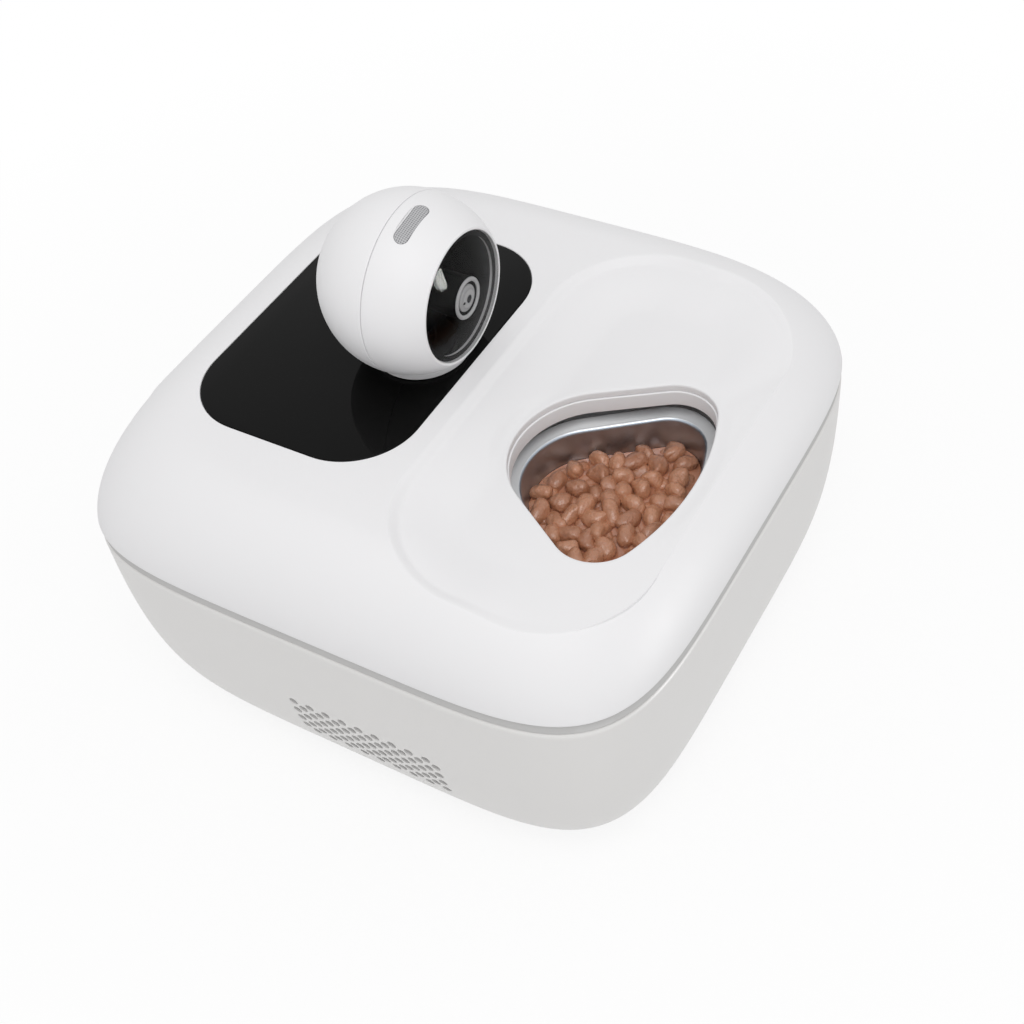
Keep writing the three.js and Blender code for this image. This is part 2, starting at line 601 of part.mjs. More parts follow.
// Straight-flanked teeth, wide at the root and narrow at the tip, with backlash at the pitch circle
function gearShape(teeth, phase) {
  const pitch = (gear.module * teeth) / 2;
  const rootR = pitch - gear.module * toothShare.dedendum;
  const tipR = pitch + gear.module * toothShare.addendum;
  const step = (Math.PI * 2) / teeth;
  const points = [];
  for (let i = 0; i < teeth; i += 1) {
    [[rootR, -toothShare.root], [tipR, -toothShare.tip], [tipR, toothShare.tip], [rootR, toothShare.root]]
      .forEach(([r, share]) => {
        const angle = phase + i * step + (share * step) / 2;
        points.push(new THREE.Vector2(r * Math.cos(angle), r * Math.sin(angle)));
      });
  }
  return new THREE.Shape(points);
}

function roundHole(x, y, radius) {
  const hole = new THREE.Path();
  hole.absarc(x, y, radius, 0, Math.PI * 2, true);
  return hole;
}

function ringGear() {
  const shape = gearShape(gear.wheelTeeth, pinionTurn);
  shape.holes.push(roundHole(0, 0, clearOf(tray.hubRadius + fitGap, 10)));
  const middle = (tray.hubRadius + (gear.module * gear.wheelTeeth) / 2) / 2;
  for (let i = 0; i < gear.windows; i += 1) {
    const angle = (i / gear.windows) * Math.PI * 2;
    shape.holes.push(roundHole(middle * Math.cos(angle), middle * Math.sin(angle), gear.windowRadius));
  }
  return prism(shape, gearZ, gearZ + gear.thick, 5).translate(hub.x, hub.y, 0);
}

function centreCap() {
  const z = trayTopZ + fitGap;
  const crown = arc(1, 0, Math.PI / 2, 3).map(([c, s]) => [c * cap.radius, z + cap.thick
    + s * (cap.height - cap.thick)]);
  return turned([[0, z], [cap.radius, z], ...crown], 20).translate(hub.x, hub.y, 0);
}

const motorTopZ = tubUnderZ - fitGap;

function drivePinion() {
  const phase = pinionTurn + Math.PI + Math.PI / gear.pinionTeeth;
  const wheel = toSolid(prism(gearShape(gear.pinionTeeth, phase), gearZ, gearZ + gear.thick));
  const shaft = rod(motor.shaftRadius, motorTopZ - motor.plateThick, gearZ + gear.thick + fitGap, 0, 0, 10);
  return toGeometry(joinAll(wheel, [shaft])).translate(pinionX, pinionY, 0);
}

// Cooling unit and drive

function gearMotor() {
  const low = motorTopZ - motor.plateThick - motor.height;
  const can = turned([[0, low], [motor.radius - motor.edge, low], [motor.radius, low + motor.edge],
    [motor.radius, motorTopZ - motor.plateThick], [motor.plateRadius, motorTopZ - motor.plateThick],
    [motor.plateRadius, motorTopZ], [0, motorTopZ]], 20);
  const socket = rod(motor.shaftRadius + fitGap, motorTopZ - motor.plateThick - fitGap, motorTopZ + cutMargin,
    0, 0, 10);
  return toGeometry(cutAll(toSolid(can), [socket])).translate(pinionX, pinionY, 0);
}

function coldPlate() {
  const half = cooler.plate / 2;
  return prism(roundedShape(coolerX - half, coolerX + half, cooler.y - half, cooler.y + half, cooler.corner),
    coldPlateZ, coldPlateZ + cooler.plateThick, 2);
}

function thermoelectricModule() {
  const half = cooler.module / 2;
  return block(coolerX - half, coolerX + half, cooler.y - half, cooler.y + half, moduleZ,
    moduleZ + cooler.moduleThick);
}

// Fins run along X, the way the fan draws the air; one comb-shaped outline is extruded
function heatSink() {
  const half = sink.size / 2;
  const pitch = (sink.size - sink.finThick) / (sink.fins - 1);
  const finZ = sinkTopZ - sink.plateThick;
  const shape = new THREE.Shape();
  shape.moveTo(half, sinkTopZ);
  shape.lineTo(-half, sinkTopZ);
  for (let i = 0; i < sink.fins; i += 1) {
    const y = -half + i * pitch;
    shape.lineTo(y, finZ);
    shape.lineTo(y, finZ - sink.finDepth);
    shape.lineTo(y + sink.finThick, finZ - sink.finDepth);
    shape.lineTo(y + sink.finThick, finZ);
  }
  const geometry = new THREE.ExtrudeGeometry(shape, { depth: sink.size, bevelEnabled: false });
  return geometry.rotateX(Math.PI / 2).rotateZ(Math.PI / 2).translate(coolerX - half, cooler.y, 0);
}

const placeFan = (geometry) => geometry.rotateY(-Math.PI / 2).translate(fanBackX, cooler.y, fanZ);

function fanFrame() {
  const half = fanSize / 2;
  const shape = roundedShape(-half, half, -half, half, fan.corner);
  shape.holes.push(roundHole(0, 0, fanBore));
  const struts = [0, 1].map((i) => block(-fanBore - fan.strut / 2, fanBore + fan.strut / 2, -fan.strut / 2,
    fan.strut / 2, 0, fan.plateThick).rotateZ(Math.PI / 4 + (i * Math.PI) / 2));
  const seat = rod(fan.hubRadius, 0, fan.plateThick);
  return placeFan(toGeometry(joinAll(toSolid(prism(shape, 0, fan.thick, 5)), [seat, ...struts])));
}

// Hub with blades that lean less towards the tip
function fanRotor() {
  const z0 = fan.plateThick + fitGap;
  const z1 = fan.thick - fan.bladeGap;
  const hubPart = turned([[0, z0], [fan.hubRadius, z0], [fan.hubRadius, z1 - fan.bladeGap],
    [fan.hubRadius - fan.bladeGap, z1], [0, z1]], 14);
  const rootR = fan.hubRadius - fan.bladeGap;
  const tipR = fanBore - fan.bladeGap;
  const blades = Array.from({ length: fan.blades }, (_, i) => loft(bladeSweepShares.map((share, s) => {
    const radius = rootR + ((tipR - rootR) * s) / (bladeSweepShares.length - 1);
    const sweep = ((Math.PI * 2) / fan.blades) * share;
    return [[-1, -1], [-1, 1], [1, 1], [1, -1]].map(([across, along]) => {
      const angle = (across * sweep) / 2 + (along * fan.bladeThick) / (2 * radius);
      const z = across < 0 ? z0 + fan.bladeGap : z1 - fan.bladeGap;
      return new THREE.Vector3(radius * Math.cos(angle), radius * Math.sin(angle), z);
    });
  })).rotateZ((i / fan.blades) * Math.PI * 2));
  return placeFan(toGeometry(joinAll(toSolid(hubPart), blades)));
}

function mainBoard() {
  const x0 = boardX - board.width / 2;
  const y0 = boardY - board.depth / 2;
  const top = boardZ + board.thick;
  const chips = chipShares.map(([x, y, w, d, h]) => block(x0 + x * board.width, x0 + (x + w) * board.width,
    y0 + y * board.depth, y0 + (y + d) * board.depth, top - board.thick / 2, top + h * board.tall));
  const plate = block(x0, x0 + board.width, y0, y0 + board.depth, boardZ, top);
  return toGeometry(joinAll(toSolid(plate), chips));
}

// Round low-voltage socket: the barrel fills the hole in the wall, its flange lies behind the wall
function dcInlet() {
  const outY = baseWallY(inletX, inletZ) - inlet.recess;
  const back = outY - inlet.length;
  const flangeY = outY - inlet.flangeIn;
  const [socketY, pinY] = [outY - inlet.socket, outY - inlet.pinBack];
  return turnedY([[0, back], [inlet.radius, back], [inlet.radius, flangeY - inlet.flangeThick],
    [inlet.flangeRadius, flangeY - inlet.flangeThick], [inlet.flangeRadius, flangeY], [inlet.radius, flangeY],
    [inlet.radius, outY], [inlet.bore, outY], [inlet.bore, socketY], [inlet.pin, socketY], [inlet.pin, pinY],
    [0, pinY]], 12).translate(inletX, 0, inletZ);
}

// Lid

// Rounded outline of the dish, set in by inset and then grown outwards; the height is taken before it grows
function dishRing(inset, grow, heightAt, steps) {
  const radius = dish.corner - inset;
  const xs = [-halfWidth + dish.leftMargin + dish.corner, halfWidth - dish.rightMargin - dish.corner];
  const ys = [-halfDepth + dish.frontMargin + dish.corner, panel.front - dish.rearMargin - dish.corner];
  const corners = [[xs[1], ys[1], 0], [xs[0], ys[1], 1], [xs[0], ys[0], 2], [xs[1], ys[0], 3]];
  return corners.flatMap(([cx, cy, quarter]) => Array.from({ length: steps + 1 }, (_, i) => {
    const angle = ((quarter + i / steps) * Math.PI) / 2;
    const [c, s] = [Math.cos(angle), Math.sin(angle)];
    return new THREE.Vector3(cx + (radius + grow) * c, cy + (radius + grow) * s,
      heightAt(cx + radius * c, cy + radius * s));
  }));
}

// The body that is cut out of the dome to leave the dish: a flat floor, a slope round it, a short steep edge
function dishBody(grow, lower, steps) {
  const under = (x, y) => domeZ(x, y) - dish.lip / 3;
  const floor = (x, y) => Math.min(dishFloorZ, under(x, y)) - lower;
  const slope = (x, y) => Math.min(Math.max(dishFloorZ, domeZ(x, y) - dish.step), under(x, y)) - lower;
  const edge = (x, y) => Math.max(domeZ(x, y), dishFloorZ) + dish.lip - lower;
  return loft([
    dishRing(dish.slope, grow, floor, steps),
    dishRing(0, grow, slope, steps),
    dishRing(-dish.edgeRun, grow, edge, steps),
    dishRing(-dish.edgeRun, grow, () => lidTopZ + lid.height, steps),
  ]);
}

function lidShell() {
  const outer = loft(lidOuterShares.map((t) => domeRing(t, 0, lid.height, lid.round, true)));
  const inside = lidInnerShares.map((t) => domeRing(t, lid.wall, lid.height - lid.topWall,
    lid.round - lid.wall, false));
  const mouth = inside[0].map((p) => new THREE.Vector3(p.x, p.y, p.z - cutMargin));
  const hollow = toSolid(loft([mouth, ...inside])).subtract(toSolid(dishBody(dish.wall, dish.wall, 4)));
  const barrels = hingeBarrels(lidKnuckles, hingeZ, seamZ + lid.wall);
  const seat = prism(roundedShape(-panel.halfWidth - fitGap, panel.halfWidth + fitGap, panel.front - fitGap,
    panelRear + fitGap, panel.corner + fitGap), lidTopZ - panel.thick - fitGap, lidTopZ + cutMargin, 7);
  return toGeometry(cutAll(joinAll(toSolid(outer).subtract(hollow), barrels), [
    dishBody(0, 0, 6),
    prism(ringShape(wedgeRing(openingWedge, 0, 0)), seamZ, lidTopZ + cutMargin),
    seat,
    rod(neck.stemRadius + fitGap, lidTopZ - lid.height / 2, lidTopZ + cutMargin, 0, headY, 20),
    hingePin(hinge.pinRadius + fitGap, fitGap),
  ]));
}

// Collar that hangs round the opening, down to just above the bowls, with a flange under the dish
function openingSkirt() {
  const topZ = dishFloorZ - dish.wall - fitGap - skirt.seatDrop;
  const flangeZ = topZ - skirt.flangeThick;
  const lowZ = topZ - skirt.depth;
  const ring = (out, z) => wedgeRing(openingWedge, -out, z);
  return loft([
    ring(skirt.step, lowZ),
    ring(skirt.step + skirt.wall, lowZ),
    ring(skirt.step + skirt.wall, flangeZ),
    ring(skirt.step + skirt.flange, flangeZ),
    ring(skirt.step + skirt.flange, topZ),
    ring(skirt.step, topZ),
  ], true);
}

function touchPanel() {
  const shape = roundedShape(-panel.halfWidth, panel.halfWidth, panel.front, panelRear, panel.corner);
  shape.holes.push(roundHole(0, headY, neck.stemRadius + fitGap));
  return prism(shape, lidTopZ - panel.thick, lidTopZ, 8);
}

const lidUnderZ = lidTopZ - lid.topWall;

function panelBoardPlate() {
  const y1 = panelRear - panelBoard.behind;
  return block(-panelBoard.halfWidth, panelBoard.halfWidth, y1 - panelBoard.depth, y1,
    lidUnderZ - fitGap - panelBoard.thick, lidUnderZ - fitGap);
}

function panMotorCan() {
  const top = lidUnderZ - fitGap;
  const low = top - panMotor.height;
  return turned([[0, low], [panMotor.radius - panMotor.edge, low], [panMotor.radius, low + panMotor.edge],
    [panMotor.radius, top], [0, top]], 18).translate(0, headY, 0);
}

// Disc under the ball, with a hollow stem through the glass and the lid
function cameraFoot() {
  const z = lidTopZ + fitGap;
  const top = z + neck.height;
  return turned([[neck.boreRadius, lidUnderZ], [neck.stemRadius, lidUnderZ], [neck.stemRadius, z],
    [neck.radius - neck.edge, z], [neck.radius, z + neck.edge], [neck.radius, top - neck.edge],
    [neck.radius - neck.edge, top], [neck.boreRadius, top], [neck.boreRadius, lidUnderZ]], 24)
    .translate(0, headY, 0);
}

// Camera head, in its own place about the ball's centre

const headUnder = -head.height + neck.height + 2 * fitGap;
const headInner = head.radius - head.wall;
const faceY = -Math.sqrt(head.radius ** 2 - (face.radius + face.rim) ** 2);
const placeHead = (geometry) => geometry.translate(0, headY, headZ);
const belowHead = () => block(-head.radius, head.radius, -head.radius, head.radius, -head.radius * 2,
  headUnder);

function headRearShell() {
  const outside = arc(head.radius, Math.asin(head.seamY / head.radius), Math.PI / 2, 6);
  const inside = arc(headInner, Math.PI / 2, Math.asin(head.seamY / headInner), 5);
  return placeHead(toGeometry(cutAll(toSolid(turnedY([...inside, ...outside], 24)), [belowHead()])));
}

const pillShape = (grow) => roundedShape(light.x - light.half - grow, light.x + light.half + grow,
  light.y - light.radius - grow, light.y + light.radius + grow, light.radius + grow);
const ballOf = (radius) => toSolid(new THREE.SphereGeometry(radius, 48, 24));

// Ball front with a rebate for the window: outside from the rim to the seam, back inside to the window's lip
function headFrontShell() {
  const seam = head.seamY - fitGap;
  const seatY = faceY + face.edgeThick + fitGap;
  const lipY = seatY + face.lipThick;
  const outside = arc(head.radius, Math.asin(faceY / head.radius), Math.asin(seam / head.radius), 5);
  const inside = arc(headInner, Math.asin(seam / headInner), Math.asin(lipY / headInner), 4);
  const profile = [[face.radius + fitGap, faceY], ...outside, ...inside, [face.radius - face.lip, lipY],
    [face.radius - face.lip, seatY], [face.radius + fitGap, seatY], [face.radius + fitGap, faceY]];
  const pocket = toSolid(prism(pillShape(fitGap), 0, head.radius * 2, 3)).subtract(
    ballOf(head.radius - light.deep - fitGap));
  const shell = toSolid(turnedY(profile, 24)).subtract(pocket);
  return placeHead(toGeometry(cutAll(shell, [belowHead()])));
}

function statusLight() {
  const pill = toSolid(prism(pillShape(0), 0, head.radius * 2, 3));
  return placeHead(toGeometry(pill.intersect(ballOf(head.radius - fitGap))
    .subtract(ballOf(head.radius - light.deep))));
}

// Spherical cap of the given radius and rise, from its crown on the axis back to its edge
function domeProfile(radius, rise, edgeY, steps) {
  const curve = (radius ** 2 + rise ** 2) / (2 * rise);
  const span = Math.asin(radius / curve);
  return Array.from({ length: steps + 1 }, (_, i) => {
    const angle = (span * i) / steps;
    return [curve * Math.sin(angle), edgeY - rise + curve * (1 - Math.cos(angle))];
  });
}

function faceGlass() {
  const outside = domeProfile(face.radius, face.rise, faceY, 4);
  const backY = faceY + face.edgeThick;
  const inside = domeProfile(face.radius - face.edgeThick, face.rise - face.edgeThick / 2, backY, 4);
  return placeHead(turnedY([...outside, [face.radius, backY], ...inside.reverse()], 24));
}

// Turning fork: the spigot runs down through the foot to the pan motor, the arms carry the lens
function cameraYoke() {
  const plateZ = headUnder + fitGap;
  const plateR = Math.sqrt(headInner ** 2 - plateZ ** 2) - 8 * fitGap;
  const armEnd = yoke.armHalf + yoke.armThick;
  const half = yoke.armWidth / 2;
  const bridgeZ = -Math.sqrt(headInner ** 2 - armEnd ** 2 - half ** 2) + 4 * fitGap;
  const arms = [-1, 1].flatMap((side) => {
    const [x0, x1] = side < 0 ? [-armEnd, -yoke.armHalf] : [yoke.armHalf, armEnd];
    return [block(x0, x1, -half, half, bridgeZ, 0), rodX(half, x0, x1, 0, 0, 14)];
  });
  const bridge = block(-armEnd, armEnd, -half, half, bridgeZ, bridgeZ + yoke.plateThick);
  const plate = rod(plateR, plateZ, plateZ + yoke.plateThick, 0, 0, 24);
  const spigot = rod(yoke.spigotRadius, lidUnderZ - headZ, bridgeZ + yoke.plateThick / 2, 0, 0, 16);
  const bore = rodX(lens.trunnion + fitGap, -armEnd - cutMargin, armEnd + cutMargin, 0, 0, 10);
  return placeHead(toGeometry(cutAll(joinAll(toSolid(plate), [bridge, spigot, ...arms]), [bore])));
}

// Lens module: it tilts on two trunnions, behind the domed window
function lensBarrel() {
  const seat = lens.glassRadius + fitGap;
  const tube = turnedY([[0, lens.frontY + lens.seatDepth], [seat, lens.frontY + lens.seatDepth],
    [seat, lens.frontY + lens.lip / 2], [lens.radius - lens.lip, lens.frontY],
    [lens.radius, lens.frontY + lens.lip], [lens.radius, lens.backY], [0, lens.backY]], 20);
  const reach = yoke.armHalf + yoke.armThick;
  return placeHead(toGeometry(joinAll(toSolid(tube), [
    rodX(lens.trunnion, -reach, reach, 0, 0, 10),
    rodX(lens.boss, -yoke.armHalf + fitGap, yoke.armHalf - fitGap, 0, 0, 12),
  ])));
}

function lensGlass() {
  const back = lens.frontY + lens.seatDepth - fitGap;
  const edge = back - lens.seatDepth / 3;
  const crown = arc(1, -Math.PI / 2, 0, 3).map(([c, s]) => [c * lens.glassRadius, edge + s * lens.glassRise]);
  return placeHead(turnedY([...crown, [lens.glassRadius, back], [0, back]], 18));
}

function cameraBoard() {
  const y = lens.backY + fitGap;
  return placeHead(block(-eyeBoard.half, eyeBoard.half, y, y + eyeBoard.thick,
    -eyeBoard.half, eyeBoard.half));
}

// Materials

const finish = (color, roughness, metalness = 0) => new THREE.MeshStandardMaterial(
  { color, roughness, metalness });
const finishes = {
  lidWhite: finish(0xe9e9ec, 0.25),
  baseWhite: finish(0xdcdad8, 0.35),
  innerWhite: finish(0xd8d8da, 0.5),
  rubber: finish(0x8e8e90, 0.8),
  darkRubber: finish(0x2a2a2a, 0.85),
  blackGlass: finish(0x060607, 0.08),
  smokedGlass: finish(0x050506, 0.05),
  lightGrey: finish(0xa9a9ab, 0.5),
  blackPlastic: finish(0x151516, 0.5),
  steel: finish(0xb9b6b0, 0.25, 1),
  aluminium: finish(0xbfc1c4, 0.35, 1),
  gearPlastic: finish(0xd9d4c8, 0.5),
  foam: finish(0x55585c, 0.95),
  ceramic: finish(0xf0efe9, 0.6),
  circuit: finish(0x1f5a38, 0.5),
  meat: finish(0xa8684f, 0.3),
};

// The rear lobe makes the box deeper at the back, so all pieces move forward by half of it
const feeder = new THREE.Group();
feeder.position.y = -lobe.reach / 2;

function add(name, geometry, material) {
  const mesh = new THREE.Mesh(geometry, finishes[material]);
  mesh.name = name;
  feeder.add(mesh);
}

add('base_shell', baseShell(), 'baseWhite');
add('bottom_cover', bottomCover(), 'innerWhite');
footPlaces.forEach((place, i) => add(`foot_${i + 1}`, footPad(place), 'darkRubber'));
screwPlaces.forEach((place, i) => add(`cover_screw_${i + 1}`, coverScrew(place), 'steel'));
add('cooling_tub', coolingTub(), 'innerWhite');
add('tub_gasket', tubGasket(), 'rubber');
add('insulation_pad', insulationPad(), 'foam');
add('cold_plate', coldPlate(), 'aluminium');
add('thermoelectric_module', thermoelectricModule(), 'ceramic');
add('heat_sink', heatSink(), 'aluminium');
add('fan_frame', fanFrame(), 'blackPlastic');
add('fan_rotor', fanRotor(), 'blackPlastic');
add('gear_motor', gearMotor(), 'steel');
add('drive_pinion', drivePinion(), 'gearPlastic');
add('spindle', spindlePost(), 'steel');
add('bearing_lower', spindleBearing(tubFloorZ + 2 * fitGap + spindle.flangeThick), 'steel');
add('bearing_upper', spindleBearing(spindleTopZ - bearing.height), 'steel');
add('main_board', mainBoard(), 'circuit');
add('dc_inlet', dcInlet(), 'blackPlastic');
add('hinge_pin', hingePin(), 'steel');

add('carousel_tray', carouselTray(), 'innerWhite');
add('ring_gear', ringGear(), 'gearPlastic');
add('centre_cap', centreCap(), 'innerWhite');
for (let i = 0; i < bowlCount; i += 1) add(`bowl_${i + 1}`, bowlShell(i), 'steel');
add('wet_food', wetFood(), 'meat');

add('lid_shell', lidShell(), 'lidWhite');
add('opening_skirt', openingSkirt(), 'lidWhite');
add('touch_panel', touchPanel(), 'blackGlass');
add('panel_board', panelBoardPlate(), 'circuit');
add('pan_motor', panMotorCan(), 'aluminium');
add('camera_foot', cameraFoot(), 'lidWhite');

add('camera_yoke', cameraYoke(), 'innerWhite');
add('head_rear_shell', headRearShell(), 'lidWhite');
add('head_front_shell', headFrontShell(), 'lidWhite');
add('status_light', statusLight(), 'lightGrey');
add('face_glass', faceGlass(), 'smokedGlass');
add('lens_barrel', lensBarrel(), 'lightGrey');
add('lens_glass', lensGlass(), 'smokedGlass');
add('camera_board', cameraBoard(), 'circuit');

export default feeder;
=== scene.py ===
import json
import math
import bmesh
import bpy
import numpy as np
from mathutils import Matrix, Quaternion, Vector


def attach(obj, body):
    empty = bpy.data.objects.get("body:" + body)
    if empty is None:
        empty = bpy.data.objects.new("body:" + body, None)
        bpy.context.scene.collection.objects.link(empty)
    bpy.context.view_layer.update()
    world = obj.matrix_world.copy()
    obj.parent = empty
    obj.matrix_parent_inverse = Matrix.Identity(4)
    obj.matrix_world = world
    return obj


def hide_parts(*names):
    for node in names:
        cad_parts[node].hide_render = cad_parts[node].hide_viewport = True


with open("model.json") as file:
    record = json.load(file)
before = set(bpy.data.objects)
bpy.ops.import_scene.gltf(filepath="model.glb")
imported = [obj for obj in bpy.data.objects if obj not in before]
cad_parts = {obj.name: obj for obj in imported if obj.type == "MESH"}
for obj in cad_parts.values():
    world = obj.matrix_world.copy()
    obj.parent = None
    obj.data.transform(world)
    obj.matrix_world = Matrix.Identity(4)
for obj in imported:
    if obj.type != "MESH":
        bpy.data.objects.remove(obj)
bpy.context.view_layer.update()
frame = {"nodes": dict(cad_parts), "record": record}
nodes = frame["nodes"]

# Shapes are worked out in millimetres about the casing's middle and written to the meshes in metres
metre = 0.001
casingShift = np.array([0.0, -2.7, 0.0])


# Camera

cameraPlace = {
    "position": (-0.46243, -0.35786, 0.68817),
    "lookAt": (-0.05790, -0.06117, 0.15000),
    "rollDegrees": -8.58,
    "lens": 52.956,
    "sensor": 36.0,
    "clip": (0.01, 50.0),
}


def addCamera(spec):
    data = bpy.data.cameras.new("photoCamera")
    data.lens = spec["lens"]
    data.sensor_width = spec["sensor"]
    data.clip_start, data.clip_end = spec["clip"]
    camera = bpy.data.objects.new("photoCamera", data)
    bpy.context.scene.collection.objects.link(camera)
    camera.rotation_mode = "QUATERNION"
    camera.location = spec["position"]
    toward = Vector(spec["lookAt"]) - Vector(spec["position"])
    roll = Quaternion((0.0, 0.0, 1.0), math.radians(spec["rollDegrees"]))
    camera.rotation_quaternion = toward.to_track_quat("-Z", "Y") @ roll
    bpy.context.scene.camera = camera


addCamera(cameraPlace)


# Shader maths: a Value wraps a node's output, and arithmetic on it adds Math nodes

class Value:
    def __init__(self, shader, socket):
        self.shader = shader
        self.socket = socket

    def __add__(self, other):
        return self.shader.maths("ADD", self, other)

    def __radd__(self, other):
        return self.shader.maths("ADD", other, self)

    def __sub__(self, other):
        return self.shader.maths("SUBTRACT", self, other)

    def __rsub__(self, other):
        return self.shader.maths("SUBTRACT", other, self)

    def __mul__(self, other):
        return self.shader.maths("MULTIPLY", self, other)

    def __lt__(self, other):
        return self.shader.maths("LESS_THAN", self, other)

    def __gt__(self, other):
        return self.shader.maths("GREATER_THAN", self, other)


# A Mix node's two colour inputs and its colour output, by their places among its sockets
mixSockets = {"first": 6, "second": 7, "result": 2}


# A node tree of a new material, or of the world
class Shader:
    def __init__(self, owner):
        owner.use_nodes = True
        self.owner = owner
        self.tree = owner.node_tree
        self.tree.nodes.clear()

    # Any node: its type, its settings and the values or links of its sockets
    def node(self, kind, settings=None, sockets=None, output=0):
        made = self.tree.nodes.new(kind)
        for key, value in (settings or {}).items():
            if key == "stops":
                ramp = made.color_ramp
                while len(ramp.elements) < len(value):
                    ramp.elements.new(1.0)
                for element, (position, colour) in zip(ramp.elements, value):
                    element.position = position
                    element.color = colour
            else:
                setattr(made, key, value)
        for key, value in (sockets or {}).items():
            if isinstance(value, Value):
                self.tree.links.new(value.socket, made.inputs[key])
            else:
                made.inputs[key].default_value = value
        return Value(self, made.outputs[output]) if made.outputs else None

    def maths(self, operation, first, second):
        return self.node("ShaderNodeMath", {"operation": operation}, {0: first, 1: second})

    def place(self, stretch=None):
        point = self.node("ShaderNodeTexCoord", output="Object")
        if stretch is None:
            return point
        return self.node("ShaderNodeMapping", None, {"Vector": point, "Scale": stretch})

    def noise(self, scale, detail=3.0, at=None):
        return self.node("ShaderNodeTexNoise", None, {
            "Vector": at or self.place(), "Scale": scale, "Detail": detail,
        })

    # Distance from the nearest of a cloud of scattered points
    def cells(self, scale):
        return self.node("ShaderNodeTexVoronoi", None, {"Vector": self.place(), "Scale": scale})

    def mixColour(self, factor, first, second):
        return self.node("ShaderNodeMix", {"data_type": "RGBA"}, {
            "Factor": factor, mixSockets["first"]: first, mixSockets["second"]: second,
        }, mixSockets["result"])

    # One of the three parts of a point: 0 is X, 1 is Y and 2 is Z
    def part(self, point, number):
        return self.node("ShaderNodeSeparateXYZ", None, {"Vector": point}, number)

    def vector(self, operation, first, second=(0.0, 0.0, 0.0), output=0):
        return self.node("ShaderNodeVectorMath", {"operation": operation}, {0: first, 1: second}, output)

    def bump(self, height, strength, distance):
        return self.node("ShaderNodeBump", None, {
            "Height": height, "Strength": strength, "Distance": distance,
        })

    def surface(self, sockets):
        made = self.node("ShaderNodeBsdfPrincipled", None, sockets)
        self.node("ShaderNodeOutputMaterial", None, {"Surface": made})
        return self.owner


def materialShader(name):
    return Shader(bpy.data.materials.new(name))


def rgb(red, green, blue):
    return (red, green, blue, 1.0)


def shaded(colour, share):
    red, green, blue, _ = colour
    return rgb(red * share, green * share, blue * share)


# Finishes

plasticFinishes = {
    "casing_white": {"colour": rgb(0.815, 0.81, 0.82), "roughness": 0.54, "grain": 0.06, "specular": 0.4},
    "base_white": {"colour": rgb(0.735, 0.725, 0.715), "roughness": 0.38, "grain": 0.16, "specular": 0.4},
    "inner_white": {"colour": rgb(0.76, 0.765, 0.775), "roughness": 0.42, "grain": 0.12, "specular": 0.4},
    "black_plastic": {"colour": rgb(0.008, 0.008, 0.008), "roughness": 0.55, "grain": 0.01, "specular": 0.04},
    "gear_plastic": {"colour": rgb(0.68, 0.64, 0.55), "roughness": 0.4, "grain": 0.1, "specular": 0.4},
    "seal_grey": {"colour": rgb(0.54, 0.535, 0.53), "roughness": 0.62, "grain": 0.25, "specular": 0.3},
    "foot_rubber": {"colour": rgb(0.03, 0.03, 0.03), "roughness": 0.75, "grain": 0.4, "specular": 0.3},
    "ceramic": {"colour": rgb(0.85, 0.84, 0.80), "roughness": 0.5, "grain": 0.3, "specular": 0.5},
}
plasticPattern = {"driftScale": 14.0, "drift": 0.98, "sheenScale": 70.0, "sheen": 0.06,
                  "grainScale": 1800.0, "grainDetail": 2.0, "grainHeight": 0.00006}


# Moulded plastic: the colour drifts by two percent over some centimetres, the gloss over some
# millimetres, and a fine mould grain lifts the surface
def mouldedPlastic(name, spec):
    pattern = plasticPattern
    shader = materialShader(name)
    drift = shader.noise(pattern["driftScale"])
    sheen = shader.noise(pattern["sheenScale"])
    grain = shader.noise(pattern["grainScale"], pattern["grainDetail"])
    return shader.surface({
        "Base Color": shader.mixColour(drift, shaded(spec["colour"], pattern["drift"]), spec["colour"]),
        "Roughness": spec["roughness"] + (sheen - 0.5) * pattern["sheen"],
        "Specular IOR Level": spec["specular"],
        "Normal": shader.bump(grain, spec["grain"], pattern["grainHeight"]),
    })


metalFinishes = {
    # The bowl's dark colour is mostly painted shade on the wall below the flange, with a little cloud in it
    "bowl_steel": {"colour": rgb(0.68, 0.685, 0.69), "dark": rgb(0.42, 0.47, 0.53), "roughness": 0.34,
                   "spread": 0.06, "stretch": (60.0, 60.0, 300.0), "lines": 0.01, "paintedShadeBelow": 144.9,
                   "satin": 0.25},
    "machine_steel": {"colour": rgb(0.55, 0.55, 0.55), "dark": rgb(0.50, 0.50, 0.50), "roughness": 0.28,
                      "spread": 0.1, "stretch": (300.0, 300.0, 2500.0), "lines": 0.25},
    "aluminium": {"colour": rgb(0.66, 0.67, 0.68), "dark": rgb(0.59, 0.60, 0.61), "roughness": 0.36,
                  "spread": 0.12, "stretch": (120.0, 1500.0, 1500.0), "lines": 0.3},
}
metalPattern = {"cloudScale": 22.0, "cloudShare": 0.2, "lineHeight": 0.00005}
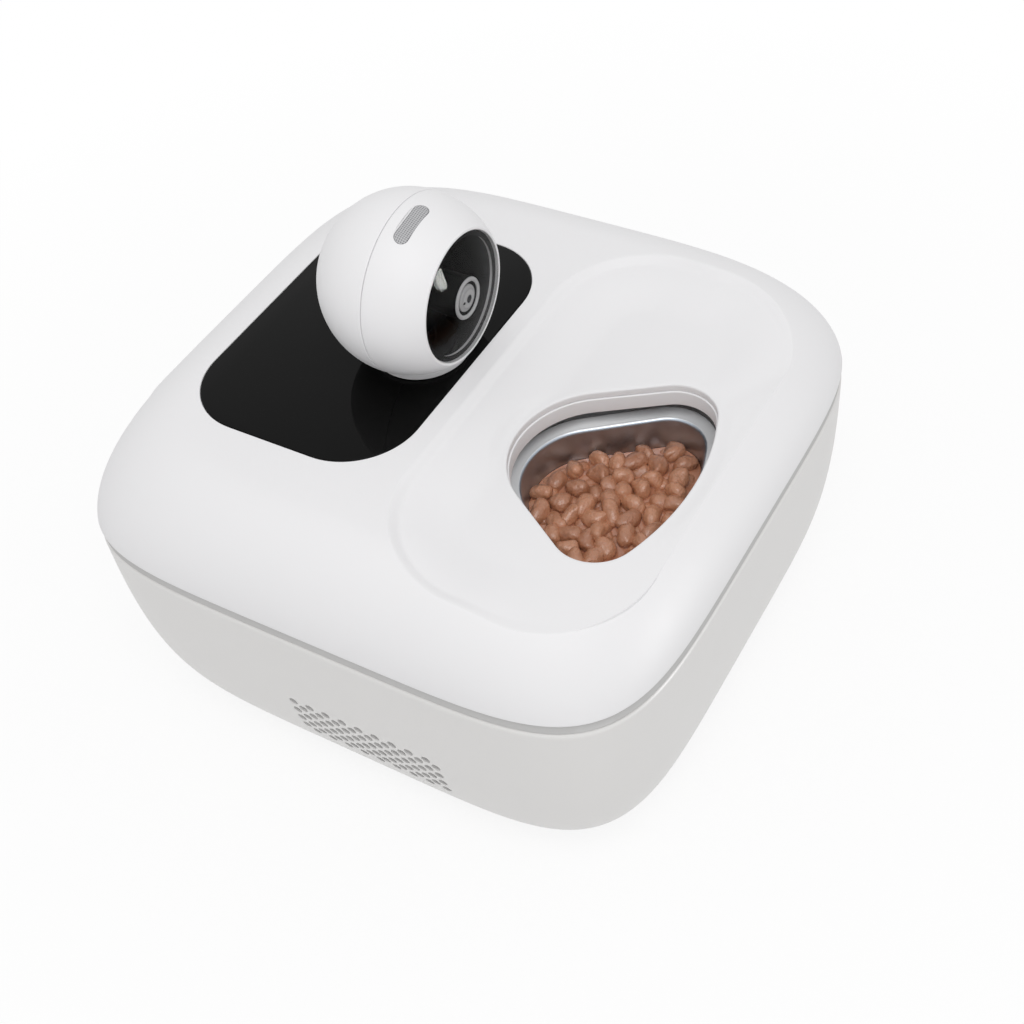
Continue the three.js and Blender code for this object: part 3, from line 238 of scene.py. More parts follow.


# Metal: drawing lines run one way, and the gloss varies along them, the colour in clouds. A bowl's
# flange, above a given height, is satin and keeps the paler colour, and the wall below it is painted darker
# and bluer as painted shade
def drawnMetal(name, spec):
    pattern = metalPattern
    shader = materialShader(name)
    lines = shader.noise(1.0, at=shader.place(spec["stretch"]))
    cloud = shader.noise(pattern["cloudScale"])
    gloss = spec["roughness"] + (lines - 0.5) * spec["spread"]
    tone = cloud
    if "paintedShadeBelow" in spec:
        # Below this height the bowl's wall takes mostly the dark colour: painted shade
        above = shader.part(shader.place(), 2) > spec["paintedShadeBelow"] * metre
        gloss = gloss + above * spec["satin"]
        tone = cloud * pattern["cloudShare"] + above * (1.0 - pattern["cloudShare"])
    return shader.surface({
        "Base Color": shader.mixColour(tone, spec["dark"], spec["colour"]),
        "Metallic": 1.0,
        "Roughness": gloss,
        "Normal": shader.bump(lines, spec["lines"], pattern["lineHeight"]),
    })


glassFinishes = {
    "black_glass": {"colour": rgb(0.002, 0.002, 0.002), "spread": 1.3, "specular": 0.09, "hazeScale": 9.0,
                    "polish": 0.03, "alpha": 1.0},
    "smoked_glass": {"colour": rgb(0.001, 0.001, 0.001), "spread": 1.0, "specular": 0.36, "hazeScale": 30.0,
                     "polish": 0.015, "alpha": 0.2},
}


# Polished glass: only the finest unevenness in the gloss. The panel lies over a black print, and the
# window lets the lens show through
def polishedGlass(name, spec):
    shader = materialShader(name)
    haze = shader.noise(spec["hazeScale"])
    return shader.surface({
        "Base Color": shader.mixColour(haze, spec["colour"], shaded(spec["colour"], spec["spread"])),
        "Roughness": spec["polish"] + haze * spec["polish"],
        "Specular IOR Level": spec["specular"],
        "Alpha": spec["alpha"],
    })


lightPattern = {"pitch": 0.0011, "hole": 0.32, "web": rgb(0.46, 0.46, 0.47), "dark": rgb(0.2, 0.2, 0.21),
                "roughness": 0.5, "relief": 0.4, "depth": 0.0002}


# Light diffuser: round pores in rows, a millimetre apart, each darker and lower than the web between
def lightMesh(name):
    pattern = lightPattern
    shader = materialShader(name)
    scale = 1.0 / pattern["pitch"]
    cells = shader.node("ShaderNodeTexVoronoi", {"feature": "F1", "voronoi_dimensions": "2D"}, {
        "Vector": shader.place((scale, scale, scale)), "Scale": 1.0, "Randomness": 0.0,
    })
    web = cells > pattern["hole"]
    return shader.surface({
        "Base Color": shader.mixColour(web, pattern["dark"], pattern["web"]),
        "Roughness": pattern["roughness"],
        "Normal": shader.bump(web, pattern["relief"], pattern["depth"]),
    })


boardPattern = {"mask": rgb(0.015, 0.11, 0.05), "maskSpread": 1.2, "track": rgb(0.03, 0.2, 0.09),
                "trackScale": 260.0, "trackWidth": 0.06, "trackOffset": 0.37, "pad": rgb(0.6, 0.5, 0.3),
                "padScale": 240.0, "padSize": 0.16, "padMetal": 0.9, "roughness": 0.4, "padGloss": 0.1}


# Circuit board: brick-like tracks under the green mask and small bright pads
def circuitBoard(name):
    pattern = boardPattern
    shader = materialShader(name)
    tracks = shader.node("ShaderNodeTexBrick", {"offset": pattern["trackOffset"]}, {
        "Vector": shader.place(), "Scale": pattern["trackScale"], "Mortar Size": pattern["trackWidth"],
        "Color1": pattern["mask"], "Color2": shaded(pattern["mask"], pattern["maskSpread"]),
        "Mortar": pattern["track"],
    })
    isPad = shader.cells(pattern["padScale"]) < pattern["padSize"]
    return shader.surface({
        "Base Color": shader.mixColour(isPad, tracks, pattern["pad"]),
        "Metallic": isPad * pattern["padMetal"],
        "Roughness": pattern["roughness"] - isPad * pattern["padGloss"],
    })


foamPattern = {"cellScale": 700.0, "dark": rgb(0.07, 0.08, 0.09), "pale": rgb(0.12, 0.13, 0.14),
               "roughness": 0.95, "relief": 0.6, "depth": 0.0004}


# Closed-cell foam: small cells seen as dimples
def foamCells(name):
    pattern = foamPattern
    shader = materialShader(name)
    cells = shader.cells(pattern["cellScale"])
    return shader.surface({
        "Base Color": shader.mixColour(cells, pattern["dark"], pattern["pale"]),
        "Roughness": pattern["roughness"],
        "Normal": shader.bump(cells, pattern["relief"], pattern["depth"]),
    })


meatPattern = {"pale": rgb(0.54, 0.25, 0.138), "deep": rgb(0.34, 0.14, 0.073), "toneShare": 0.65,
               "wet": 0.24, "dry": 0.22, "mottleScale": 380.0, "mottleDetail": 5.0,
               "fibres": (500.0, 1400.0, 500.0), "lumpScale": 150.0, "lumpDetail": 2.0, "lumpShare": 0.6,
               "mottleShare": 0.3, "fibreShare": 0.1, "relief": 0.8, "depth": 0.0036, "coat": 0.45,
               "coatGloss": 0.09, "inside": 0.12, "insideReach": (0.004, 0.0016, 0.001)}


# Meat in gravy: each piece has its own tone, kept in the mesh, and a fibrous mottle over it. Lumps of
# some millimetres, the mottle and the fibres lift the surface, and a thin wet coat lies over it
def meatSurface(name):
    pattern = meatPattern
    shader = materialShader(name)
    tone = shader.node("ShaderNodeAttribute", {"attribute_name": "tone"}, output="Fac")
    mottle = shader.noise(pattern["mottleScale"], pattern["mottleDetail"])
    fibres = shader.noise(1.0, at=shader.place(pattern["fibres"]))
    lumps = shader.noise(pattern["lumpScale"], pattern["lumpDetail"])
    share = tone * pattern["toneShare"] + mottle * (1.0 - pattern["toneShare"])
    height = lumps * pattern["lumpShare"] + mottle * pattern["mottleShare"] + fibres * pattern["fibreShare"]
    return shader.surface({
        "Base Color": shader.mixColour(share, pattern["deep"], pattern["pale"]),
        "Roughness": pattern["wet"] + mottle * pattern["dry"],
        "Coat Weight": pattern["coat"],
        "Coat Roughness": pattern["coatGloss"],
        "Subsurface Weight": pattern["inside"],
        "Subsurface Radius": pattern["insideReach"],
        "Normal": shader.bump(height, pattern["relief"], pattern["depth"]),
    })


gravyPattern = {"thin": rgb(0.5, 0.225, 0.13), "thick": rgb(0.39, 0.165, 0.095), "swirlScale": 90.0,
                "swirlDetail": 4.0, "wet": 0.16, "dry": 0.12, "coat": 0.5, "coatGloss": 0.06, "relief": 0.3,
                "depth": 0.0008}


def gravySurface(name):
    pattern = gravyPattern
    shader = materialShader(name)
    swirl = shader.noise(pattern["swirlScale"], pattern["swirlDetail"])
    return shader.surface({
        "Base Color": shader.mixColour(swirl, pattern["thick"], pattern["thin"]),
        "Roughness": pattern["wet"] + swirl * pattern["dry"],
        "Coat Weight": pattern["coat"],
        "Coat Roughness": pattern["coatGloss"],
        "Normal": shader.bump(swirl, pattern["relief"], pattern["depth"]),
    })


finishes = {name: mouldedPlastic(name, spec) for name, spec in plasticFinishes.items()}
finishes.update({name: drawnMetal(name, spec) for name, spec in metalFinishes.items()})
finishes.update({name: polishedGlass(name, spec) for name, spec in glassFinishes.items()})
patternedFinishes = {"status_grey": lightMesh, "circuit_board": circuitBoard, "foam": foamCells,
                     "food": meatSurface}
finishes.update({name: make(name) for name, make in patternedFinishes.items()})
gravy = gravySurface("gravy")
print("finishes made:", len(finishes) + 1)


# Shape helpers

# Skin through rings of equally many points, counter-clockwise seen from above, in order from below, over
# the rim and down inside; the ends are capped, or joined when closed
def skin(rings, closed=False):
    total, count = rings.shape[:2]
    rows = np.arange(total if closed else total - 1)[:, None]
    low = rows * count
    high = ((rows + 1) % total) * count
    here = np.arange(count)[None, :]
    there = (here + 1) % count
    quads = np.stack([low + here, low + there, high + there, high + here], axis=-1).reshape(-1, 4)
    faces = quads.tolist()
    if not closed:
        faces.append(list(range(count))[::-1])
        faces.append(list(range((total - 1) * count, total * count)))
    return rings.reshape(-1, 3), faces


# Several closed skins as one mesh
def together(*skins):
    points, faces, start = [], [], 0
    for part, partFaces in skins:
        points.append(part)
        faces += [[start + index for index in face] for face in partFaces]
        start += len(part)
    return np.concatenate(points), faces


def shadeSmooth(mesh, sharp):
    mesh.shade_smooth()
    mesh.set_sharp_from_angle(angle=math.radians(sharpAngles[sharp]))


# Angles in degrees past which an edge stays sharp
sharpAngles = {"usual": 34.0, "bowl": 50.0, "gravy": 60.0, "meat": 80.0, "ball": 30.0, "shadeLiner": 40.0}
poleGaps = {"merge": 1e-7, "emptyArea": 1e-14}


# Puts a skin into a mesh; rings that shrink to a point on the axis are merged there
def makePiece(name, shape, sharp="usual", poles=False):
    points, faces = shape
    mesh = bpy.data.meshes.new(name)
    mesh.from_pydata(((points + casingShift) * metre).tolist(), [], faces)
    if poles:
        mergePoles(mesh)
    mesh.validate()
    shadeSmooth(mesh, sharp)
    piece = bpy.data.objects.new(name, mesh)
    bpy.context.scene.collection.objects.link(piece)
    return piece


def mergePoles(mesh):
    work = bmesh.new()
    work.from_mesh(mesh)
    bmesh.ops.remove_doubles(work, verts=work.verts, dist=poleGaps["merge"])
    empty = [face for face in work.faces if face.calc_area() < poleGaps["emptyArea"]]
    bmesh.ops.delete(work, geom=empty, context="FACES_ONLY")
    work.to_mesh(mesh)
    work.free()


# Cuts or joins with other skins for good, so that no helper object is left
def joinOrCut(piece, operation, shape, sharp="usual"):
    helper = makePiece(piece.name + "Helper", shape)
    change = piece.modifiers.new("change", "BOOLEAN")
    change.object = helper
    change.operation = operation
    change.solver = "EXACT"
    bpy.context.view_layer.update()
    depsgraph = bpy.context.evaluated_depsgraph_get()
    mesh = bpy.data.meshes.new_from_object(piece.evaluated_get(depsgraph))
    piece.modifiers.clear()
    before = piece.data
    piece.data = mesh
    mesh.name = piece.name
    bpy.data.meshes.remove(before)
    bpy.data.objects.remove(helper)
    shadeSmooth(mesh, sharp)


# Gives a piece a finish, that of its slot unless another is given, puts it on its body and hides the CAD
# nodes that it stands for
def settle(piece, body, slot, finish=None, standsFor=()):
    piece.data.materials.clear()
    piece.data.materials.append(finish or finishes[slot])
    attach(piece, body)
    if standsFor:
        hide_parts(*standsFor)


def smoothStep(t):
    u = np.clip(t, 0.0, 1.0)
    return u * u * (3.0 - 2.0 * u)


def column(values):
    return np.asarray(values, float).reshape(-1, 1)


# Radius and height pairs along part of a circle, between two angles in degrees
def arc(radius, height, size, fromDegrees, toDegrees, steps=6):
    angle = np.radians(np.linspace(fromDegrees, toDegrees, steps + 1))
    return np.stack([radius + size * np.cos(angle), height + size * np.sin(angle)], axis=1)


# Angles along a quarter round, past its start
quarterRound = np.radians([30.0, 60.0, 90.0])


def path(*stretches):
    return np.concatenate([np.atleast_2d(np.asarray(stretch, float)) for stretch in stretches])


# A profile of radius and height pairs carried round Z, at x and y
def turned(profile, x=0.0, y=0.0, segments=96, closed=False):
    angle = np.arange(segments) * 2.0 * np.pi / segments
    radius, height = column(profile[:, 0]), column(profile[:, 1])
    rings = np.stack([x + radius * np.cos(angle), y + radius * np.sin(angle), height + 0.0 * angle], axis=-1)
    return skin(rings, closed)


# The same carried round an axis along Y, through x and z
def turnedY(profile, x, y, z, segments=96, closed=False):
    points, faces = turned(profile, 0.0, 0.0, segments, closed)
    return np.stack([x + points[:, 0], y + points[:, 2], z - points[:, 1]], axis=1), faces


# Round rod along X, with caps
def rodX(radius, x0, x1, y, z, sides=32):
    angle = np.arange(sides) * 2.0 * np.pi / sides
    ring = np.stack([0.0 * angle, y + radius * np.cos(angle), z + radius * np.sin(angle)], axis=1)
    return skin(np.stack([ring + (x0, 0.0, 0.0), ring + (x1, 0.0, 0.0)]))


outlineSpread = {"crowding": 0.075, "directions": 8192, "sideSplit": 32}


# Superellipse outlines: the higher the power, the squarer; the points crowd towards the corners
def planRings(halfX, halfY, power, height, count=480):
    turn = np.arange(count) * 2.0 * np.pi / count
    angle = turn + outlineSpread["crowding"] * np.sin(4.0 * turn)
    across, along = np.cos(angle), np.sin(angle)
    halfX, halfY, power, height = (column(value) for value in (halfX, halfY, power, height))
    radius = (np.abs(across) ** power + np.abs(along) ** power) ** (-1.0 / power)
    return np.stack([halfX * radius * across, halfY * radius * along, height + 0.0 * radius], axis=-1)


# Rounded rectangle, drawn in by inset at each height
def boxRings(spec, inset, height, steps=16):
    inset, height = column(inset), column(height)
    corner = spec["corner"]
    turns = [(quarter + np.arange(steps + 1) / steps) * np.pi / 2.0 for quarter in range(4)]
    angle = np.concatenate(turns)
    right = np.repeat([1, 0, 0, 1], steps + 1)
    rear = np.repeat([1, 1, 0, 0], steps + 1)
    x = np.where(right, spec["x1"] - corner, spec["x0"] + corner) + (corner - inset) * np.cos(angle)
    y = np.where(rear, spec["y1"] - corner, spec["y0"] + corner) + (corner - inset) * np.sin(angle)
    return np.stack([x, y, height + 0.0 * x], axis=-1)


# Rounded wedge that points back to its centre and lies about -Y, drawn in by inset at each height:
# an arc about the centre, a corner arc and a tip arc on each side
def wedgeRings(spec, inset, height, steps=18):
    inset, height = column(inset), column(height)
    half = math.radians(spec["halfAngle"])
    cornerAt = spec["reach"] - spec["corner"]
    lean = half - math.asin((spec["gap"] + spec["corner"]) / cornerAt)
    tipAt = (spec["gap"] + spec["tip"]) / math.sin(half)
    outer = lean * np.arange(1, steps + 1) / (steps + 1)
    turn = lean - np.pi / 2.0 + (half - lean + np.pi / 2.0) * np.arange(steps + 1) / steps
    tip = half + (np.pi / 2.0 - half) * np.arange(steps) / steps
    reach, corner, tipRadius = spec["reach"] - inset, spec["corner"] - inset, spec["tip"] - inset
    x = np.concatenate([reach * np.sin(outer), cornerAt * np.sin(lean) + corner * np.cos(turn),
                        tipRadius * np.cos(tip)], axis=1)
    y = np.concatenate([-reach * np.cos(outer), -cornerAt * np.cos(lean) + corner * np.sin(turn),
                        -tipAt + tipRadius * np.sin(tip)], axis=1)
    zero = np.zeros_like(inset)
    x = np.concatenate([zero, x, zero, -x[:, ::-1]], axis=1) + spec["x"]
    y = np.concatenate([-reach, y, tipRadius - tipAt, y[:, ::-1]], axis=1) + spec["y"]
    return np.stack([x, y, height + 0.0 * x], axis=-1)


def turnAbout(points, centre, angle):
    shifted = points - (centre[0], centre[1], 0.0)
    c, s = math.cos(angle), math.sin(angle)
    turnedPoints = np.stack([c * shifted[..., 0] - s * shifted[..., 1],
                             s * shifted[..., 0] + c * shifted[..., 1], shifted[..., 2]], axis=-1)
    return turnedPoints + (centre[0], centre[1], 0.0)


# How far a closed outline lies from a centre, for each of the given directions; each straight side is
# split first, since reach isn't linear in angle along it
def reachOf(outline, centre, directions):
    count = outlineSpread["sideSplit"]
    share = np.arange(count)[None, :, None] / count
    ends = np.roll(outline, -1, axis=0)
    split = (outline[:, None, :2] * (1.0 - share) + ends[:, None, :2] * share).reshape(-1, 2)
    offset = split - centre
    angle = np.arctan2(offset[:, 1], offset[:, 0])
    order = np.argsort(angle)
    reach = np.hypot(offset[:, 0], offset[:, 1])
    return np.interp(directions, angle[order], reach[order], period=2.0 * np.pi)


# Directions from the centre that are spread evenly along all the given outlines together
def evenDirections(outlines, centre, count):
    dense = np.linspace(-np.pi, np.pi, outlineSpread["directions"])
    weight = np.zeros_like(dense)
    for outline in outlines:
        reach = reachOf(outline, centre, dense)
        length = np.hypot(reach, np.gradient(reach, dense))
        weight += length / length.sum()
    total = np.concatenate([[0.0], np.cumsum((weight[1:] + weight[:-1]) / 2.0)])
    return np.interp(np.arange(count) / count * total[-1], total, dense)


# Lid: the dome, the dish and the opening are one skin of rings about a point in the opening

casing = {"halfWidth": 160.0, "halfDepth": 166.0, "seam": 133.0, "lidHeight": 47.5, "lidRound": 43.0,
          "lidPower": 1.84, "seamPower": 5.4, "topPower": 4.0, "bottomPower": 5.3}
lobe = {"halfWidth": 60.0, "blend": 22.0, "reach": 5.4, "fade": 32.0, "solid": 12.0, "from": 0.5,
        "ramp": 4.0}
dish = {"x0": -135.0, "x1": 119.0, "y0": -148.0, "y1": -15.5, "corner": 55.0, "floor": 168.5, "border": 6.0,
        "borderShare": 0.3, "slopeFrom": 3.0, "slopeRun": 34.0, "wall": 4.2}
openingEdge = {"x": -22.4, "y": -4.2, "reach": 134.4, "halfAngle": 32.3, "gap": 0.0, "corner": 22.0,
               "tip": 46.0, "round": 1.0, "level": 8.0, "bevel": 0.3, "brim": 4.0}
lidSkin = {"points": 640, "outerRings": 46, "dishRings": 44, "dishCrowding": 1.5,
           "middle": np.array([-22.4, -96.0]), "lip": 1.2, "wall": 3.0, "topWall": 4.2,
           "thickenFrom": 150.0, "thickenOver": 25.0, "dishBlend": 10.0, "keep": 3, "clear": 0.1,
           "lineSteps": 300, "halvings": 26}
lidTop = casing["seam"] + casing["lidHeight"]


# The lobe over the hinge pushes the rear outwards: full near the seam, faded further from it
def withLobe(points, away):
    across = smoothStep((lobe["halfWidth"] + lobe["blend"] - np.abs(points[..., 0])) / lobe["blend"])
    share = 1.0 - smoothStep((away - lobe["solid"]) / (lobe["fade"] - lobe["solid"]))
    rearness = smoothStep((points[..., 1] / casing["halfDepth"] - lobe["from"]) * lobe["ramp"])
    moved = points.copy()
    moved[..., 1] += lobe["reach"] * across * share * rearness
    return moved


# Height of the dome over a point: the outline at height seam + height sin(t)^(2/m) stands in from the
# seam by round (1 - cos(t)^(2/m)), and t is found by halving
def domeHeight(x, y):
    low, high = np.zeros_like(x), np.ones_like(x)
    for _ in range(lidSkin["halvings"]):
        t = (low + high) / 2.0
        rise = np.sin(t * np.pi / 2.0) ** (2.0 / casing["lidPower"])
        inset = casing["lidRound"] * (1.0 - np.cos(t * np.pi / 2.0) ** (2.0 / casing["lidPower"]))
        power = casing["seamPower"] + (casing["topPower"] - casing["seamPower"]) * rise
        inside = (np.abs(x / (casing["halfWidth"] - inset)) ** power
                  + np.abs(y / (casing["halfDepth"] - inset)) ** power) < 1.0
        low, high = np.where(inside, t, low), np.where(inside, high, t)
    return casing["seam"] + casing["lidHeight"] * np.sin(low * np.pi / 2.0) ** (2.0 / casing["lidPower"])


# Distance inside a rounded rectangle, positive within it
def insideBox(spec, x, y):
    halfX, halfY = (spec["x1"] - spec["x0"]) / 2.0, (spec["y1"] - spec["y0"]) / 2.0
    qx = np.abs(x - (spec["x0"] + spec["x1"]) / 2.0) - halfX + spec["corner"]
    qy = np.abs(y - (spec["y0"] + spec["y1"]) / 2.0) - halfY + spec["corner"]
    outside = np.hypot(np.maximum(qx, 0.0), np.maximum(qy, 0.0))
    return spec["corner"] - outside - np.minimum(np.maximum(qx, qy), 0.0)


# Outline of the dome at a height above the seam
def domeOutline(above, count=4000):
    rise = above / casing["lidHeight"]
    level = np.sqrt(1.0 - rise ** casing["lidPower"]) ** (2.0 / casing["lidPower"])
    inset = casing["lidRound"] * (1.0 - level)
    power = casing["seamPower"] + (casing["topPower"] - casing["seamPower"]) * rise
    return planRings([casing["halfWidth"] - inset], [casing["halfDepth"] - inset], [power], [0.0], count)[0]


# Normals of a grid of rings, from the steps along and across them
def gridNormals(rings):
    along = np.roll(rings, -1, axis=1) - np.roll(rings, 1, axis=1)
    up = np.gradient(rings, axis=0)
    normal = np.cross(along, up)
    return normal / np.linalg.norm(normal, axis=-1, keepdims=True)


# Reach from the lid's middle to the opening, the dish and the seam, in directions spread along all three
def lidReach():
    middle, steps = lidSkin["middle"], lidSkin["lineSteps"]
    openLine = wedgeRings(openingEdge, [0.0], [0.0], steps)[0]
    dishLine = boxRings(dish, [0.0], [0.0], steps)[0]
    seamLine = domeOutline(lidSkin["lip"])
    lines = [openLine, dishLine, seamLine]
    way = evenDirections(lines, middle, lidSkin["points"])
    toward = np.stack([np.cos(way), np.sin(way)], axis=-1)
    return toward, *(reachOf(line, middle, way) for line in lines)


# Top of the lid: from the seam to the dish border the rings lie as on a quarter of the dome's curve, and
# from the border to the opening the floor is reached over a short step and a long soft slope
def lidTopRings(toward, opened, bordered, seamed):
    middle, size = lidSkin["middle"], openingEdge["round"]
    t = np.linspace(0.0, np.pi / 2.0, lidSkin["outerRings"])
    share = column(1.0 - np.cos(t) ** (2.0 / casing["lidPower"]))
    outerReach = seamed - (seamed - bordered) * share
    outer = middle + outerReach[..., None] * toward
    outerHeight = np.maximum(domeHeight(outer[..., 0], outer[..., 1]), casing["seam"] + lidSkin["lip"])

    share = column(np.linspace(0.0, 1.0, lidSkin["dishRings"])[1:] ** lidSkin["dishCrowding"])
    innerReach = bordered - (bordered - opened - size) * share
    inner = middle + innerReach[..., None] * toward
    depth = insideBox(dish, inner[..., 0], inner[..., 1])
    step = smoothStep(depth / dish["border"])
    slope = smoothStep((depth - dish["slopeFrom"]) / dish["slopeRun"])
    sunk = dish["borderShare"] * step + (1.0 - dish["borderShare"]) * slope
    lift = np.maximum(outerHeight[-1] - dish["floor"], 0.0)
    level = smoothStep((innerReach - opened - size) / openingEdge["level"])
    innerHeight = dish["floor"] + lift * (1.0 - sunk) * level

    plan = np.concatenate([outer, inner])
    return np.concatenate([plan, np.concatenate([outerHeight, innerHeight])[..., None]], axis=-1)


# Inside of the lid: some of the top's rings, moved in along the normals, thicker under the high top
def lidUnderRings(top):
    inDish = smoothStep(insideBox(dish, top[..., 0], top[..., 1]) / lidSkin["dishBlend"] + 0.5)
    raised = smoothStep((top[..., 2] - lidSkin["thickenFrom"]) / lidSkin["thickenOver"])
    thick = lidSkin["wall"] + (lidSkin["topWall"] - lidSkin["wall"]) * (1.0 - inDish) * raised
    under = (top - gridNormals(top) * thick[..., None])[lidSkin["keep"]:][::-lidSkin["keep"]][1:]
    under[..., 2] = np.maximum(under[..., 2], casing["seam"] + lidSkin["lip"] + lidSkin["clear"])
    return under


def lidRings():
    toward, opened, bordered, seamed = lidReach()
    top = lidTopRings(toward, opened, bordered, seamed)

    def flatRing(reach, height):
        flat = lidSkin["middle"] + reach[:, None] * toward
        return np.concatenate([flat, np.full((len(flat), 1), height)], axis=1)[None]

    size, bevel = openingEdge["round"], openingEdge["bevel"]
    low = dish["floor"] - dish["wall"]
    edge = [flatRing(opened + size * (1.0 - math.sin(a)), dish["floor"] - size * (1.0 - math.cos(a)))
            for a in quarterRound]
    edge += [flatRing(opened, low + bevel), flatRing(opened + bevel, low),
             flatRing(opened + openingEdge["brim"], low)]

    seam, lip = casing["seam"], lidSkin["lip"]
    foot = [withLobe(flatRing(seamed - lip * (1.0 - math.cos(a)), seam + lip * (1.0 - math.sin(a))), 0.0)
            for a in quarterRound[::-1]]
    mouth = [flatRing(seamed - lidSkin["wall"], seam + lip), flatRing(seamed - lidSkin["wall"], seam)]
    lobed = withLobe(top, top[..., 2] - seam)
    return np.concatenate(foot + [lobed] + edge + [lidUnderRings(top)] + mouth)


panel = {"x0": -90.0, "x1": 90.0, "y0": -5.0, "y1": 121.5, "corner": 38.0, "thick": 2.2, "round": 0.5,
         "bevel": 0.3, "seatOver": 9.0}
headPlace = {"y": 24.5, "z": 224.0}
neck = {"radius": 25.1, "height": 3.6, "stem": 10.0, "bore": 8.3, "under": 176.3, "round": 1.1,
        "bevel": 0.4, "cut": 20.0}
fitGap = 0.3


def grownBox(spec, grow):
    return {"x0": spec["x0"] - grow, "x1": spec["x1"] + grow, "y0": spec["y0"] - grow,
            "y1": spec["y1"] + grow, "corner": spec["corner"] + grow}


def stemHole(radius):
    cut = neck["cut"]
    return turned(path([radius, lidTop - cut], [radius, lidTop + cut]), 0.0, headPlace["y"], segments=64)


def lidShell():
    piece = makePiece("lidShell", skin(lidRings(), closed=True))
    bevel = panel["bevel"]
    heights = [lidTop - panel["thick"] - fitGap, lidTop - bevel, lidTop, lidTop + panel["seatOver"]]
    seat = boxRings(grownBox(panel, fitGap), [0.0, 0.0, -bevel, -bevel], heights, steps=24)
    joinOrCut(piece, "DIFFERENCE", skin(seat))
    joinOrCut(piece, "DIFFERENCE", stemHole(neck["stem"] + fitGap))
    settle(piece, "lid", "casing_white", standsFor=["lid_shell"])


def touchPanel():
    size = panel["round"]
    rim = arc(size, lidTop - size, size, 180.0, 90.0, steps=5)
    low = lidTop - panel["thick"]
    profile = path([size / 2.0, low], [0.0, low + size / 2.0], rim)
    piece = makePiece("touchPanel", skin(boxRings(panel, profile[:, 0], profile[:, 1], steps=32)))
    joinOrCut(piece, "DIFFERENCE", stemHole(neck["stem"] + fitGap))
    settle(piece, "lid", "black_glass", standsFor=["touch_panel"])


# Collar that hangs round the opening; its rounded top edge stands in a little from the lid's own edge
skirtShape = {"top": 164.2, "depth": 9.2, "out": -0.7, "round": 0.6, "wall": 3.5, "flange": 4.2,
              "flangeThick": 1.6}


def openingSkirt():
    s = skirtShape
    top, low, size = s["top"], s["top"] - s["depth"], s["round"]
    inner, outer, brim = s["out"], s["out"] + s["wall"], s["out"] + s["flange"]
    profile = path([inner + size, low], [outer - size, low], [outer, low + size],
                   [outer, top - s["flangeThick"]], [brim, top - s["flangeThick"]], [brim, top],
                   arc(inner + size, top - size, size, 90.0, 180.0, steps=4), [inner, low + size])
    rings = wedgeRings(openingEdge, -profile[:, 0], profile[:, 1], steps=30)
    piece = makePiece("openingSkirt", skin(rings, closed=True))
    settle(piece, "lid", "casing_white", standsFor=["opening_skirt"])


lidShell()
touchPanel()
openingSkirt()
print("lid made")


# Hinge barrels: each is round on one side, and on the other it runs up or down into the lobe as a web

hinge = {"y": 168.2, "z": 130.0, "radius": 2.6, "bore": 1.5, "pin": 1.2, "lidHalf": 17.5,
         "baseLength": 16.0, "gap": 0.5, "outerLength": 15.5, "cut": 60.0, "lidWebTo": 136.0,
         "baseWebTo": 124.0}


def barrels(name, body, spans, webTo, slot):
    h = hinge
    first = 180.0 if webTo > h["z"] else 0.0
    curve = arc(h["y"], h["z"], h["radius"], first, first + 180.0, steps=16)
    y = np.append(curve[:, 0], curve[[-1, 0], 0])
    z = np.append(curve[:, 1], [webTo, webTo])
    ring = np.stack([0.0 * y, y, z], axis=1)
    skins = [skin(np.stack([ring + (x0, 0.0, 0.0), ring + (x1, 0.0, 0.0)])) for x0, x1 in spans]
    piece = makePiece(name, together(*skins))
    joinOrCut(piece, "DIFFERENCE", rodX(h["bore"], -h["cut"], h["cut"], h["y"], h["z"]))
    settle(piece, body, slot)


afterLid = hinge["lidHalf"] + hinge["gap"]
afterBase = afterLid + hinge["baseLength"] + hinge["gap"]
pinHalf = afterBase + hinge["outerLength"]
lidSpans = [(-pinHalf, -afterBase), (-hinge["lidHalf"], hinge["lidHalf"]), (afterBase, pinHalf)]
baseSpans = [(-afterLid - hinge["baseLength"], -afterLid), (afterLid, afterLid + hinge["baseLength"])]
barrels("lidBarrels", "lid", lidSpans, hinge["lidWebTo"], "casing_white")
barrels("baseBarrels", "root", baseSpans, hinge["baseWebTo"], "base_white")
pin = makePiece("hingePin", rodX(hinge["pin"], -pinHalf, pinHalf, hinge["y"], hinge["z"]))
settle(pin, "root", "machine_steel", standsFor=["hinge_pin"])


# Base: the wall curves in under the feeder

base = {"depth": 130.0, "inset": 41.0, "power": 2.9, "groove": 6.0, "wall": 3.0, "round": 2.7,
        "firstShare": 0.018, "rings": 96, "shelfDrop": 7.3, "shelf": 0.9, "shelfRun": 3.6,
        "insideShare": 0.84, "insideRings": 36, "halfX": 100.0, "halfY": 106.0, "floorOut": 9.5,
        "ledge": 8.0, "ledgeZ": 5.8, "ledgeTop": 8.3, "foot": 3.0}
vents = {"rows": 8, "perRow": 9, "pitch": 10.1, "rowPitch": 4.2, "radius": 2.6, "firstDrop": 65.0,
         "middleY": -19.2, "sides": 20, "outwards": 5.0, "inwards": 10.0}
filterShape = {"gap": 0.6, "thick": 1.2, "margin": 6.0, "rings": 12}
inlet = {"x": 92.0, "z": 42.0, "hole": 6.0, "cut": 20.0}
screws = {"x": 95.7, "y": 101.7, "hole": 1.7, "cut": 4.0}


# How far the wall stands in at a drop below the seam: a superellipse of the base's power
def baseInset(drop):
    rise = np.minimum((np.asarray(drop, float) / base["depth"]) ** (base["power"] / 2.0), 1.0)
    return base["inset"] * (1.0 - np.sqrt(1.0 - rise * rise) ** (2.0 / base["power"]))


# Power of the plan's superellipse, which goes from the seam's to the bottom's
def basePower(drop):
    return casing["seamPower"] + (casing["bottomPower"] - casing["seamPower"]) * drop / base["depth"]


